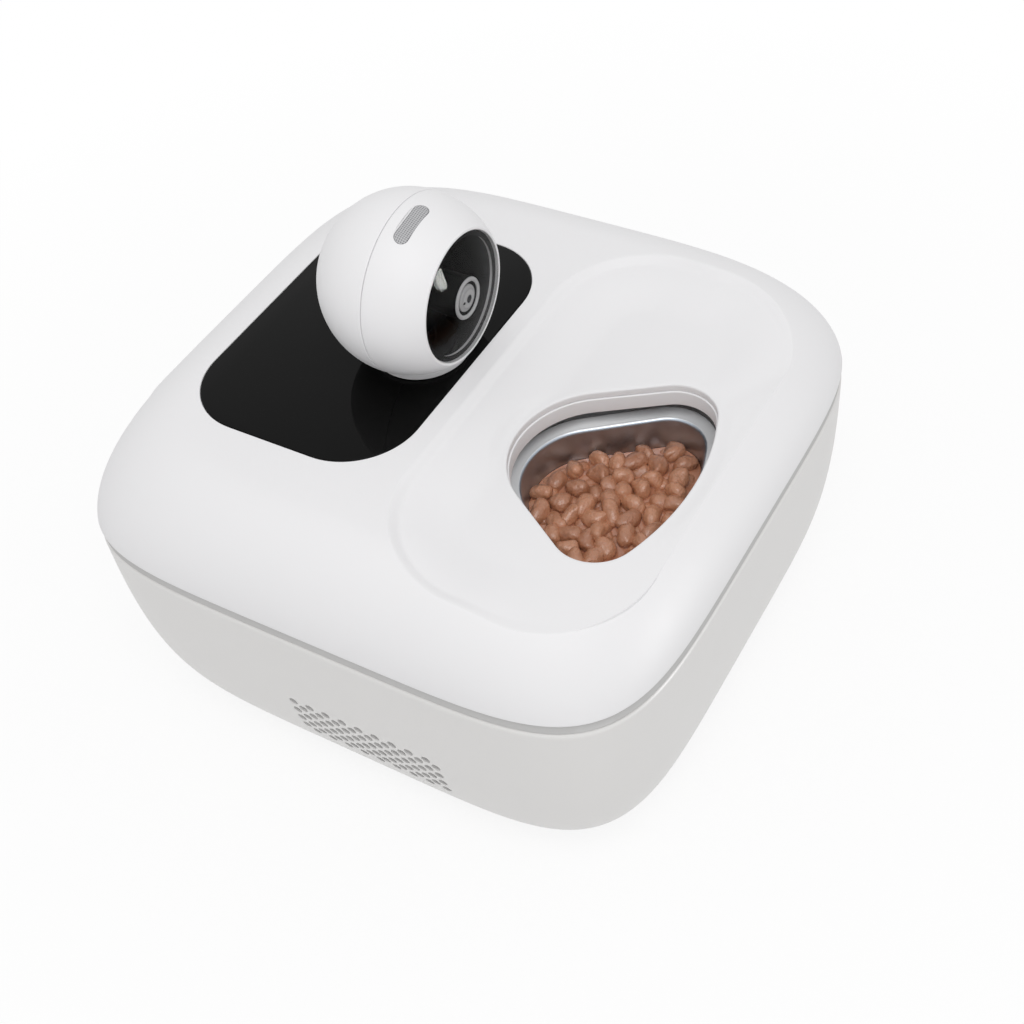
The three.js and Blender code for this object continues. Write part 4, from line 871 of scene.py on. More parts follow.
def baseRings(drop, inward, lobed):
    drop = np.asarray(drop, float)
    inset, power = baseInset(drop) + inward, basePower(drop)
    rings = planRings(casing["halfWidth"] - inset, casing["halfDepth"] - inset, power, casing["seam"] - drop)
    return withLobe(rings, column(drop)) if lobed else rings


# Drops spread along the wall's curve, for shares of its length
def curveDrop(shares, depth):
    return depth * np.sin(shares * np.pi / 2.0) ** (2.0 / base["power"])


# Rings about the opening in the bottom
def openedRings(out, height):
    out = np.asarray(out, float)
    power = np.full(len(out), casing["bottomPower"])
    return planRings(base["halfX"] + out, base["halfY"] + out, power, height)


# Where the outside of the base's rear wall stands at a place
def baseWallY(x, z):
    drop = casing["seam"] - z
    inset, power = float(baseInset(drop)), basePower(drop)
    across = abs(x / (casing["halfWidth"] - inset)) ** power
    return (casing["halfDepth"] - inset) * (1.0 - across) ** (1.0 / power)


# Rods that cut the vents: staggered rows in the left wall
def ventHoles():
    v = vents
    holes = []
    for row in range(v["rows"]):
        drop = v["firstDrop"] + row * v["rowPitch"]
        wallX = casing["halfWidth"] - float(baseInset(drop))
        shift = (0.5 - row % 2) * v["pitch"] / 2.0
        for place in range(v["perRow"]):
            y = v["middleY"] + (place - (v["perRow"] - 1) / 2.0) * v["pitch"] + shift
            holes.append(rodX(v["radius"], -wallX - v["outwards"], -wallX + v["inwards"], y,
                              casing["seam"] - drop, v["sides"]))
    return together(*holes)


# Dark filter mat behind the vents, which follows the inside of the wall
def ventFilter():
    f = filterShape
    drop = np.linspace(vents["firstDrop"] + (vents["rows"] - 1) * vents["rowPitch"] + f["margin"],
                       vents["firstDrop"] - f["margin"], f["rings"])
    outer = -casing["halfWidth"] + baseInset(drop) + base["wall"] + f["gap"]
    half = vents["perRow"] * vents["pitch"] / 2.0 + f["margin"]
    front, rear = vents["middleY"] - half, vents["middleY"] + half
    corners = [(0.0, front), (f["thick"], front), (f["thick"], rear), (0.0, rear)]
    rings = np.stack([np.stack([outer + inward, y + 0.0 * drop, casing["seam"] - drop], axis=1)
                      for inward, y in corners], axis=1)
    settle(makePiece("ventFilter", skin(rings)), "root", "foam")


# Holes for the inlet in the rear wall and for the cover's four screws in the ledge
def baseHoles():
    wallY = baseWallY(inlet["x"], inlet["z"])
    inletHole = turnedY(path([inlet["hole"], wallY - inlet["cut"]], [inlet["hole"], wallY + inlet["cut"]]),
                        inlet["x"], 0.0, inlet["z"], segments=48)
    screwHole = path([screws["hole"], base["foot"]], [screws["hole"], base["ledgeTop"] + screws["cut"]])
    places = [(-screws["x"], 0.0), (screws["x"], 0.0), (0.0, -screws["y"]), (0.0, screws["y"])]
    return together(inletHole, *[turned(screwHole, x, y, segments=20) for x, y in places])


# Shell: outside up from the foot, the rounded rim, the groove for the seal, then the inside down to the
# ledge round the bottom's opening
def baseShell():
    b = base
    size, groove, wall = b["round"], b["groove"], b["wall"]
    outside = baseRings(curveDrop(np.linspace(1.0, b["firstShare"], b["rings"]), b["depth"]), 0.0, True)
    edge = arc(size, -groove - size, size, 180.0, 90.0, steps=5)
    rim = [baseRings([-drop], inward, True) for inward, drop in edge]
    inner = [baseRings([groove], wall, False), baseRings([b["shelfDrop"]], wall, False),
             baseRings([b["shelfDrop"]], wall + b["shelf"], False)]
    shares = np.linspace(0.0, b["insideShare"], b["insideRings"])
    insideDrop = np.maximum(b["shelfDrop"] + b["shelfRun"], curveDrop(shares, casing["seam"] - b["ledgeTop"]))
    inside = baseRings(insideDrop, wall, False)
    ledge = openedRings([b["floorOut"], -b["ledge"], -b["ledge"], 0.0],
                        [b["ledgeTop"], b["ledgeTop"], b["ledgeZ"], b["ledgeZ"]])
    rings = np.concatenate([openedRings([0.0], [b["foot"]]), outside, *rim, *inner, inside, ledge])
    piece = makePiece("baseShell", skin(rings, closed=True))
    joinOrCut(piece, "DIFFERENCE", ventHoles())
    joinOrCut(piece, "DIFFERENCE", baseHoles())
    settle(piece, "root", "base_white", standsFor=["base_shell"])


# Seal in the groove: a band with rounded edges, whose face leans in towards the lid
gasketShape = {"low": 127.2, "high": 132.8, "thick": 2.4, "topThick": 1.0, "round": 0.5}


def tubGasket():
    g = gasketShape
    size = g["round"]
    profile = path([0.0, g["low"]], arc(g["thick"] - size, g["low"] + size, size, -90.0, 0.0, steps=4),
                   arc(g["topThick"] - size, g["high"] - size, size, 0.0, 90.0, steps=4), [0.0, g["high"]])
    out = profile[:, 0] - base["wall"]
    power = np.full(len(out), casing["seamPower"])
    rings = planRings(casing["halfWidth"] + out, casing["halfDepth"] + out, power, profile[:, 1])
    piece = makePiece("tubGasket", skin(rings, closed=True))
    settle(piece, "root", "seal_grey", standsFor=["tub_gasket"])


hub = {"x": -19.0, "y": -6.0}
tub = {"under": 92.7, "underRun": (1.0, 3.0), "floor": 94.7, "floorRound": 3.0,
       "floorAngles": (0.0, 22.0, 45.0, 67.0, 90.0), "deck": 129.0, "deckThick": 3.0, "neckTop": 136.0,
       "neckFoot": (0.2, 0.6), "neckKeep": 0.25, "neckWall": 1.3, "well": 134.8, "wall": 2.0, "draft": 1.3,
       "inset": 3.3, "round": 1.5, "shaft": 3.1, "shaftCut": (85.0, 100.0), "points": 420,
       "linePoints": 4000}
pinionPlace = (36.155, 40.281)


# Tub: rings about the hub; the round well meets the square neck on the deck
def coolingTub():
    t = tub
    centre = np.array([hub["x"], hub["y"]])
    line = planRings([casing["halfWidth"] - t["inset"]], [casing["halfDepth"] - t["inset"]],
                     [casing["seamPower"]], [0.0], t["linePoints"])[0]
    way = evenDirections([line], centre, t["points"])
    square = reachOf(line, centre, way)
    toward = np.stack([np.cos(way), np.sin(way)], axis=-1)

    def ring(reach, height):
        flat = centre + (reach + 0.0 * square)[:, None] * toward
        return np.concatenate([flat, np.full((t["points"], 1), height)], axis=1)

    well, outer, size, floorRound = t["well"], t["well"] + t["wall"], t["round"], t["floorRound"]
    underIn, underUp = t["underRun"]
    footIn, footUp = t["neckFoot"]
    deckUnder = t["deck"] - t["deckThick"]
    neckIn = square - t["draft"] - t["neckWall"]
    rings = [ring(well - underIn, t["under"]), ring(outer, t["under"] + underUp), ring(outer, deckUnder),
             ring(square, deckUnder), ring(square, t["deck"]), ring(square - t["draft"], t["neckTop"]),
             ring(neckIn, t["neckTop"]), ring(neckIn, t["deck"] + footUp), ring(neckIn - footIn, t["deck"])]
    # Near the left the neck and the well's edge all but meet, so the rounded edge keeps inside the neck
    rings += [ring(np.minimum(well + size * (1.0 - math.sin(a)), neckIn - t["neckKeep"]),
                   t["deck"] - size * (1.0 - math.cos(a))) for a in (0.0, *quarterRound)]
    rings += [ring(well - floorRound * (1.0 - math.cos(a)), t["floor"] + floorRound * (1.0 - math.sin(a)))
              for a in np.radians(t["floorAngles"])]
    piece = makePiece("coolingTub", skin(np.stack(rings)))
    shaftHole = turned(path(*([t["shaft"], height] for height in t["shaftCut"])), *pinionPlace, segments=40)
    joinOrCut(piece, "DIFFERENCE", shaftHole)
    settle(piece, "root", "inner_white", standsFor=["cooling_tub"])


footShape = {"x": 72.0, "y": 78.0, "radius": 11.0, "top": 3.7, "round": 1.0}


def rubberFeet():
    f = footShape
    outer, size = f["radius"], f["round"]
    profile = path([0.0, 0.0], arc(outer - size, size, size, -90.0, 0.0), [outer, f["top"]], [0.0, f["top"]])
    for number, (sx, sy) in enumerate([(-1, -1), (1, -1), (1, 1), (-1, 1)], 1):
        foot = turned(profile, sx * f["x"], sy * f["y"], segments=64)
        piece = makePiece(f"rubberFoot{number}", foot, poles=True)
        settle(piece, "root", "foot_rubber", standsFor=[f"foot_{number}"])


socket = {"radius": 5.7, "bore": 3.2, "pin": 1.0, "length": 20.0, "depth": 14.0, "pinBack": 6.0,
          "flange": 9.0, "flangeThick": 2.0, "flangeIn": 6.2, "recess": 1.2, "bevel": 0.4, "boreBevel": 0.3}


# Power inlet: a barrel with a flange behind the wall, and a pin in its bore
def dcInlet():
    s = socket
    out = baseWallY(inlet["x"], inlet["z"]) - s["recess"]
    back, flange, pinEnd = out - s["length"], out - s["flangeIn"], out - s["pinBack"]
    behind, bevel, boreBevel = flange - s["flangeThick"], s["bevel"], s["boreBevel"]
    profile = path([0.0, back], [s["radius"], back], [s["radius"], behind], [s["flange"], behind],
                   [s["flange"], flange], [s["radius"], flange], [s["radius"], out - bevel],
                   [s["radius"] - bevel, out], [s["bore"] + boreBevel, out], [s["bore"], out - boreBevel],
                   [s["bore"], out - s["depth"]], [s["pin"], out - s["depth"]],
                   [s["pin"], pinEnd - bevel], [s["pin"] - bevel, pinEnd], [0.0, pinEnd])
    piece = makePiece("dcInlet", turnedY(profile, inlet["x"], 0.0, inlet["z"], segments=64), poles=True)
    settle(piece, "root", "black_plastic", standsFor=["dc_inlet"])


baseShell()
ventFilter()
tubGasket()
coolingTub()
rubberFeet()
dcInlet()
print("base made")


# Carousel

bowl = {"x": hub["x"], "y": hub["y"], "reach": 132.2, "halfAngle": 36.0, "gap": 1.5, "corner": 26.5,
        "tip": 43.5, "rim": 145.3, "floor": 103.5, "flange": 7.2, "sheet": 0.8, "taper": 4.5,
        "floorRound": 7.0, "rimRound": 2.2, "rise": 2.7, "bead": 0.8, "beadFrom": 250.0, "beadTo": 75.0,
        "count": 5}


# Deep-drawn bowl as pairs of inset and height: the outside from the floor up its floor round and drafted
# wall, under the flange, which rises outwards to a rolled bead, back over the flange and down inside
def bowlProfile():
    b = bowl
    sheet, bead = b["sheet"], b["bead"]
    beadUp = b["rim"] + b["rise"] - bead
    floorIn = b["flange"] + b["taper"] + b["floorRound"]
    floorUp = b["floor"] + b["floorRound"]
    rimIn, rimUp = b["flange"] - b["rimRound"], b["rim"] - b["rimRound"]
    return path(arc(floorIn, floorUp, b["floorRound"] + sheet, 270.0, 180.0, steps=8),
                arc(rimIn, rimUp, b["rimRound"] - sheet, 0.0, 90.0, steps=4),
                arc(bead, beadUp, bead, b["beadFrom"], b["beadTo"], steps=12),
                arc(rimIn, rimUp, b["rimRound"], 90.0, 0.0, steps=6),
                arc(floorIn, floorUp, b["floorRound"], 180.0, 270.0, steps=8))


# Rings of the first bowl, and their copies at the other bowls' places round the hub
def roundHub(rings):
    return [turnAbout(rings, (hub["x"], hub["y"]), 2.0 * math.pi * index / bowl["count"])
            for index in range(bowl["count"])]


def steelBowls():
    profile = bowlProfile()
    rings = wedgeRings(bowl, profile[:, 0], profile[:, 1], steps=22)
    for number, turnedRings in enumerate(roundHub(rings), 1):
        piece = makePiece(f"steelBowl{number}", skin(turnedRings), "bowl")
        settle(piece, "carousel", "bowl_steel", standsFor=[f"bowl_{number}"])


tray = {"radius": 133.2, "hub": 16.0, "bore": 11.3, "low": 97.5, "top": 144.2, "thick": 3.6, "skirt": 12.0,
        "skirtWall": 1.6, "round": 0.7, "bevel": 0.5, "hang": 5.0, "windowBevel": 0.4, "windowCut": 3.0}
cap = {"low": 144.5, "radius": 17.0, "bevel": 0.5, "edge": 1.6, "height": 5.5, "crownPoints": 12}


# Tray: a plate with a hub and a skirt, turned, and five windows that the bowls hang in
def carouselTray():
    t = tray
    top, size = t["top"], t["round"]
    under = top - t["thick"]
    rim = t["radius"] - t["skirtWall"]
    profile = path([t["bore"], t["low"]], [t["hub"], t["low"]], [t["hub"], under], [rim, under],
                   [rim, top - t["skirt"]], [t["radius"], top - t["skirt"]],
                   arc(t["radius"] - size, top - size, size, 0.0, 90.0, steps=4),
                   [t["bore"] + t["bevel"], top], [t["bore"], top - t["bevel"]])
    piece = makePiece("carouselTray", turned(profile, hub["x"], hub["y"], segments=288, closed=True))
    hang, bevel, cut = t["hang"], t["windowBevel"], t["windowCut"]
    window = wedgeRings(bowl, [hang, hang, hang - bevel, hang - bevel],
                        [under - cut, top - bevel, top, top + cut], steps=18)
    joinOrCut(piece, "DIFFERENCE", together(*[skin(rings) for rings in roundHub(window)]))
    settle(piece, "carousel", "inner_white", standsFor=["carousel_tray"])


# Cap over the hub: a quarter ellipse from the edge to the crown
def centreCap():
    c = cap
    angle = np.radians(np.linspace(0.0, 90.0, c["crownPoints"]))
    crown = np.stack([c["radius"] * np.cos(angle),
                      c["low"] + c["edge"] + (c["height"] - c["edge"]) * np.sin(angle)], axis=1)
    crown[-1, 0] = 0.0
    profile = path([0.0, c["low"]], [c["radius"] - c["bevel"], c["low"]],
                   [c["radius"], c["low"] + c["bevel"]], crown)
    piece = makePiece("centreCap", turned(profile, hub["x"], hub["y"], segments=96), poles=True)
    settle(piece, "carousel", "inner_white", standsFor=["centre_cap"])


steelBowls()
carouselTray()
centreCap()
print("carousel made")


# Food: bean-shaped meat pieces heaped on a gravy surface

gravyShape = {"level": 127.3, "wave": 1.0, "waveAcross": 2.6, "waveAlong": 3.1, "waveFrom": 3.0,
              "wallGap": 0.12, "rings": 34, "lastShare": 0.97}
foodShape = {"seed": 7, "layers": [(122.6, 8.4), (128.0, 8.2)], "heap": 2.6, "heapReach": 55.0,
             "uneven": 0.9, "margin": 4.0, "tries": 5000, "length": (5.8, 8.0), "width": (4.4, 5.4),
             "height": (4.0, 5.0), "endPower": 0.72, "bend": 0.4, "tilt": 0.45, "phase": 6.3, "rows": 20,
             "columns": 26, "swells": [(0.09, 2.0, 2.0), (0.06, 3.0, 3.0), (0.025, 6.0, 5.0)]}


def bowlInset(height):
    run = bowl["rim"] - bowl["floor"] - bowl["floorRound"]
    return bowl["flange"] + bowl["taper"] * (bowl["rim"] - height) / run


# Gravy: fills the bowl to its level, and its top rises and falls in two crossed waves
def gravyBody():
    g = gravyShape
    floorUp = bowl["floor"] + bowl["floorRound"]
    floorInset, levelInset = bowlInset(floorUp) + g["wallGap"], bowlInset(g["level"]) + g["wallGap"]
    sides = wedgeRings(bowl, [floorInset + bowl["floorRound"], floorInset, levelInset],
                       [bowl["floor"] + g["wallGap"], floorUp, g["level"]], steps=18)
    middle = sides[-1].mean(axis=0)
    share = np.linspace(0.0, g["lastShare"], g["rings"])[1:, None, None]
    top = sides[-1] * (1.0 - share) + middle * share
    waves = np.sin(top[..., 0] / g["waveAcross"]) * np.cos(top[..., 1] / g["waveAlong"])
    top[..., 2] += g["wave"] * (waves + smoothStep(share[..., 0] * g["waveFrom"]))
    piece = makePiece("gravy", skin(np.concatenate([sides, top])), "gravy")
    settle(piece, "carousel", "food", gravy, standsFor=["wet_food"])


# Which points lie inside a closed outline: those that it crosses an odd number of times to their right
def insideOutline(points, outline):
    x, y = points[:, 0, None], points[:, 1, None]
    x0, y0 = outline[:, 0], outline[:, 1]
    x1, y1 = np.roll(x0, -1), np.roll(y0, -1)
    crosses = (y0 > y) != (y1 > y)
    at = x0 + (y - y0) / np.where(y1 == y0, 1.0, y1 - y0) * (x1 - x0)
    return (crosses & (x < at)).sum(axis=1) % 2 == 1


# Places for one layer: random points in the bowl, kept where no earlier one lies too near, and heaped
# towards the bowl's middle
def layerPlaces(rng, height, spacing):
    f = foodShape
    outline = wedgeRings(bowl, [bowlInset(height) + f["margin"]], [height], steps=18)[0]
    low, high = outline.min(axis=0), outline.max(axis=0)
    tries = rng.uniform(low[:2], high[:2], (f["tries"], 2))
    tries = tries[insideOutline(tries, outline)]
    kept = tries[:1]
    for point in tries[1:]:
        if np.min(np.hypot(*(kept - point).T)) > spacing:
            kept = np.vstack([kept, point])
    middle = outline[:, :2].mean(axis=0)
    away = np.hypot(*(kept - middle).T) / f["heapReach"]
    heights = height + f["heap"] * (1.0 - np.minimum(away, 1.0) ** 2)
    return np.column_stack([kept, heights + rng.uniform(-f["uneven"], f["uneven"], len(kept))])


# Turns two coordinates about the third's axis
def spun(first, second, angle):
    return first * np.cos(angle) - second * np.sin(angle), first * np.sin(angle) + second * np.cos(angle)


# A bean: an ellipsoid, swollen in slow waves, with its long axis bent to a parabola and then turned.
# x = -a cos u, y = b (sin u)^p cos v + bend x^2 / a, z = c (sin u)^p sin v
def meatChunks():
    f = foodShape
    rng = np.random.default_rng(f["seed"])
    places = np.concatenate([layerPlaces(rng, height, spacing) for height, spacing in f["layers"]])
    count, turn = len(places), 2.0 * np.pi

    def draw(low, high):
        return rng.uniform(low, high, (count, 1, 1))

    u = np.linspace(0.0, np.pi, f["rows"])[None, :, None]
    v = (np.arange(f["columns"]) * turn / f["columns"])[None, None, :]
    a, b, c = (draw(*f[name]) for name in ("length", "width", "height"))
    swell = 1.0
    for size, along, around in f["swells"]:
        lengthwise = np.sin(along * u + draw(0.0, f["phase"]))
        swell = swell + size * lengthwise * np.cos(around * v + draw(0.0, f["phase"])) * np.sin(u)
    ends = np.sin(u) ** f["endPower"]
    x = -a * np.cos(u) * swell + 0.0 * v
    y = b * ends * np.cos(v) * swell + draw(-1.0, 1.0) * f["bend"] * x ** 2 / a
    z = c * ends * np.sin(v) * swell
    yaw, pitch, roll = draw(0.0, turn), draw(-f["tilt"], f["tilt"]), draw(0.0, turn)
    y, z = spun(y, z, roll)
    x, z = spun(x, z, pitch)
    x, y = spun(x, y, yaw)
    points = np.stack([x, y, z], axis=-1) + places[:, None, None, :]
    piece = makePiece("meatPieces", together(*[skin(chunk) for chunk in points]), "meat")
    tone = np.repeat(rng.uniform(0.0, 1.0, count), f["rows"] * f["columns"])
    attribute = piece.data.attributes.new("tone", "FLOAT", "POINT")
    attribute.data.foreach_set("value", tone.astype(np.float32))
    # The poles are merged only now, because the tone is counted in whole rows and columns
    mergePoles(piece.data)
    shadeSmooth(piece.data, "meat")
    settle(piece, "carousel", "food")
    print("meat pieces:", count)


gravyBody()
meatChunks()


# Camera head: a ball with a flat foot, in two shells, with a domed window and a tilting lens

head = {"radius": 46.4, "wall": 2.2, "seam": -2.0, "under": -39.3, "edge": 0.45, "edgeShare": 0.3,
        "clear": 0.4, "box": 60.0, "boxCorner": 5.0}
window = {"radius": 33.0, "rise": 8.0, "thick": 1.8, "rim": 1.4, "rimRound": 0.5, "lip": 2.5,
          "lipThick": 1.5}
pill = {"x": -6.0, "y": -12.0, "half": 12.5, "radius": 3.4, "deep": 1.0, "sunk": 0.35, "round": 0.15,
        "pocket": 0.3, "pocketOut": (0.3, 0.05), "pocketCut": (0.4, 4.0),
        "topShares": (0.0, 0.25, 0.5, 0.75, 0.96), "flatShares": (0.0, 0.6, 0.96)}
faceY = -math.sqrt(head["radius"] ** 2 - (window["radius"] + window["rim"]) ** 2)


# Radius and place along the axis, for a circle about the ball's middle, between two places along the axis
def ballArc(radius, fromY, toY, steps):
    angle = np.linspace(math.asin(max(fromY / radius, -1.0)), math.asin(min(toY / radius, 1.0)), steps + 1)
    return np.stack([radius * np.cos(angle), radius * np.sin(angle)], axis=1)


# A profile carried round the axis that the window faces along
def aroundHead(profile, segments=192, closed=False):
    return turnedY(profile, 0.0, headPlace["y"], headPlace["z"], segments, closed)


# Block that cuts the ball off flat below
def headBox():
    size, low = head["box"], headPlace["z"] + head["under"]
    corner = {"x0": -size, "x1": size, "y0": headPlace["y"] - size, "y1": headPlace["y"] + size,
              "corner": head["boxCorner"]}
    return skin(boxRings(corner, [0.0, 0.0], [low - size, low], steps=2))


# Rounded outer edge of a shell at the seam, and its inner corner there
def seamEdges(radius, inner, seam, side):
    size = head["edge"]
    part = size * head["edgeShare"]
    y = np.array([seam, seam + side * part, seam + side * size])
    out = np.sqrt(radius ** 2 - y ** 2) - [size, part, 0.0]
    return np.stack([out, y], axis=1), [math.sqrt(inner ** 2 - seam ** 2), seam]


def headRearShell():
    inner = head["radius"] - head["wall"]
    edge, corner = seamEdges(head["radius"], inner, head["seam"], 1.0)
    inside = ballArc(inner, head["seam"], inner, steps=40)[::-1]
    outside = ballArc(head["radius"], head["seam"] + head["edge"] + head["clear"], head["radius"], steps=56)
    inside[0, 0] = outside[-1, 0] = 0.0
    shape = aroundHead(path(inside[:-1], corner, edge, outside))
    piece = makePiece("headRearShell", shape, "ball", poles=True)
    joinOrCut(piece, "DIFFERENCE", headBox(), "ball")
    settle(piece, "camera_head", "casing_white", standsFor=["head_rear_shell"])


# Outline of the pill-shaped light, grown by a gap and seen from above
def pillBox(grow):
    r = pill["radius"] + grow
    return {"x0": pill["x"] - pill["half"] - grow, "x1": pill["x"] + pill["half"] + grow,
            "y0": headPlace["y"] + pill["y"] - r, "y1": headPlace["y"] + pill["y"] + r, "corner": r}


# Rings over the pill's outline, laid on a ball of the given radius, at shares of the way from the outline
# to its middle line
def pillRings(grow, radius, shares):
    insets = [(pill["radius"] + grow) * share for share in shares]
    rings = boxRings(pillBox(grow), insets, [0.0] * len(shares), steps=8)
    x, y = rings[..., 0], rings[..., 1] - headPlace["y"]
    rings[..., 2] = headPlace["z"] + np.sqrt(radius ** 2 - x ** 2 - y ** 2)
    return rings


# Pocket that the light sits in, with a gap round it and a bevelled mouth
def pillPocket():
    radius, flat = head["radius"], pill["flatShares"]
    bevelOut, bevelUp = pill["pocketOut"]
    cutOut, cutUp = pill["pocketCut"]
    return skin(np.concatenate([
        pillRings(fitGap, radius - pill["deep"] - fitGap, flat[::-1]),
        pillRings(fitGap, radius - pill["pocket"], [0.0]),
        pillRings(fitGap + bevelOut, radius + bevelUp, [0.0]),
        pillRings(fitGap + cutOut, radius + cutUp, flat),
    ]))


def headFrontShell():
    w = window
    radius, inner = head["radius"], head["radius"] - head["wall"]
    seam = head["seam"] - fitGap
    edge, corner = seamEdges(radius, inner, seam, -1.0)
    seat = faceY + w["thick"] + fitGap
    lip = seat + w["lipThick"]
    hole, lipRadius, size = w["radius"] + fitGap, w["radius"] - w["lip"], w["rimRound"]
    rimRound = arc(hole + size, faceY + size, size, 180.0, 270.0, steps=4)
    outside = ballArc(radius, faceY + size / 2.0, seam - head["edge"] - head["clear"], steps=40)
    inside = ballArc(inner, lip, seam, steps=30)[::-1]
    profile = path(rimRound, outside, edge[::-1], corner, inside[1:], [lipRadius, lip], [lipRadius, seat],
                   [hole, seat])
    piece = makePiece("headFrontShell", aroundHead(profile, closed=True), "ball")
    joinOrCut(piece, "DIFFERENCE", headBox(), "ball")
    joinOrCut(piece, "DIFFERENCE", pillPocket(), "ball")
    settle(piece, "camera_head", "casing_white", standsFor=["head_front_shell"])


def statusLight():
    top, low = head["radius"] - pill["sunk"], head["radius"] - pill["deep"]
    size = pill["round"]
    rings = np.concatenate([pillRings(0.0, low, pill["flatShares"][::-1]), pillRings(0.0, top - size, [0.0]),
                            pillRings(-size, top, pill["topShares"])])
    piece = makePiece("statusLight", skin(rings))
    settle(piece, "camera_head", "status_grey", standsFor=["status_light"])


# Spherical cap from its crown on the axis back to its edge
def capProfile(radius, rise, edgeY, steps):
    curve = (radius ** 2 + rise ** 2) / (2.0 * rise)
    angle = math.asin(radius / curve) * np.linspace(0.0, 1.0, steps + 1)
    return np.stack([curve * np.sin(angle), edgeY - rise + curve * (1.0 - np.cos(angle))], axis=1)


def faceWindow():
    w = window
    back = faceY + w["thick"]
    outside = capProfile(w["radius"], w["rise"], faceY, steps=40)
    inside = capProfile(w["radius"] - w["thick"], w["rise"] - w["thick"] / 2.0, back, steps=30)[::-1]
    piece = makePiece("faceWindow", aroundHead(path(outside, [w["radius"], back], inside)), poles=True)
    settle(piece, "camera_head", "smoked_glass", standsFor=["face_glass"])


# Black sheet of painted shade inside the head
shadeLiner = {"gap": 0.4, "thick": 0.6, "back": 14.0, "ring": 0.2}


# Black sheet inside the ball and on the window's seat, painted shade that keeps the inside dark, so that only
# the lens shows through the window
def headLiner():
    outer = head["radius"] - head["wall"] - shadeLiner["gap"]
    front = faceY + window["thick"] + fitGap + window["lipThick"] + fitGap
    profile = path(ballArc(outer - shadeLiner["thick"], front, shadeLiner["back"], steps=24),
                   ballArc(outer, front, shadeLiner["back"], steps=24)[::-1])
    ringFront = faceY + window["thick"] + (fitGap - shadeLiner["ring"]) / 2.0
    ringBack = ringFront + shadeLiner["ring"]
    lip = window["radius"] - window["lip"] - fitGap
    seat = window["radius"]
    ring = path([lip, ringFront], [seat, ringFront], [seat, ringBack], [lip, ringBack])
    shapes = [aroundHead(part, segments=96, closed=True) for part in (profile, ring)]
    piece = makePiece("headLiner", together(*shapes), "shadeLiner")
    joinOrCut(piece, "DIFFERENCE", headBox(), "shadeLiner")
    settle(piece, "camera_head", "black_plastic")


lens = {"radius": 10.8, "front": -34.0, "back": 6.0, "round": 0.9, "roundFrom": 300.0, "faceIn": 1.2,
        "step": 0.35, "stepIn": 1.5, "glass": 7.0, "rise": 1.6, "edge": 0.8, "seat": 2.4,
        "seatFlat": (0.5, 1.4), "seatFlatBack": 1.1, "bezel": 1.0, "trunnion": 2.4, "boss": 5.4,
        "reach": 27.5, "bossReach": 24.2, "dotX": -4.1, "dot": 0.8, "crownPoints": 16}


# Lens barrel: a light bezel ring, stepped down to the glass, on two trunnions
def lensBarrel():
    s = lens
    seat, radius, front, size = s["glass"] + fitGap, s["radius"], s["front"], s["round"]
    flatBack = front + s["seatFlatBack"]
    flat = [[seat + out, flatBack] for out in s["seatFlat"]]
    profile = path([0.0, front + s["seat"]], [seat, front + s["seat"]], [seat, front + s["stepIn"]], flat,
                   [seat + s["stepIn"], front + s["step"]], [radius - s["faceIn"], front],
                   arc(radius - size, front + size, size, s["roundFrom"], 360.0, steps=5),
                   [radius, s["back"]], [0.0, s["back"]])
    piece = makePiece("lensBarrel", aroundHead(profile, segments=128), "ball", poles=True)
    y, z = headPlace["y"], headPlace["z"]
    joinOrCut(piece, "UNION", rodX(s["boss"], -s["bossReach"], s["bossReach"], y, z, sides=48), "ball")
    joinOrCut(piece, "UNION", rodX(s["trunnion"], -s["reach"], s["reach"], y, z, sides=40), "ball")
    settle(piece, "camera_eye", "black_plastic", lensRing(), standsFor=["lens_barrel"])


ringLook = {"bezel": rgb(0.86, 0.86, 0.87), "barrel": rgb(0.004, 0.004, 0.004), "roughness": 0.5,
            "spread": 0.1, "grainScale": 900.0, "specular": 0.08}


# The bezel is a satin grey ring, and the barrel behind it is black: the place along the axis tells them apart
def lensRing():
    look = ringLook
    shader = materialShader("lens_ring")
    border = (headPlace["y"] + casingShift[1] + lens["front"] + lens["bezel"]) * metre
    behind = shader.part(shader.place(), 1) > border
    grain = shader.noise(look["grainScale"])
    return shader.surface({
        "Base Color": shader.mixColour(behind, look["bezel"], look["barrel"]),
        "Roughness": look["roughness"] + grain * look["spread"],
        "Specular IOR Level": look["specular"],
    })


def lensGlass():
    s = lens
    back = s["front"] + s["seat"] - fitGap
    edge = back - s["edge"]
    angle = np.radians(np.linspace(-90.0, 0.0, s["crownPoints"]))
    crown = np.stack([s["glass"] * np.cos(angle), edge + s["rise"] * np.sin(angle)], axis=1)
    crown[0, 0] = 0.0
    shape = aroundHead(path(crown, [s["glass"], back], [0.0, back]), segments=96)
    piece = makePiece("lensGlass", shape, poles=True)
    settle(piece, "camera_eye", "smoked_glass", coatedLens(), standsFor=["lens_glass"])


# Colours from the lens's axis out to its edge: the pupil, the grey disc with a darker ring, and the border
discLook = {
    "stops": [(0.0, rgb(0.004, 0.004, 0.006)), (0.26, rgb(0.006, 0.006, 0.01)), (0.34, rgb(0.80, 0.80, 0.81)),
              (0.62, rgb(0.86, 0.86, 0.87)), (0.7, rgb(0.64, 0.64, 0.65)), (1.0, rgb(0.82, 0.82, 0.83))],
    "dot": rgb(0.01, 0.01, 0.01), "hazeScale": 60.0, "polish": 0.06, "haze": 0.02,
}


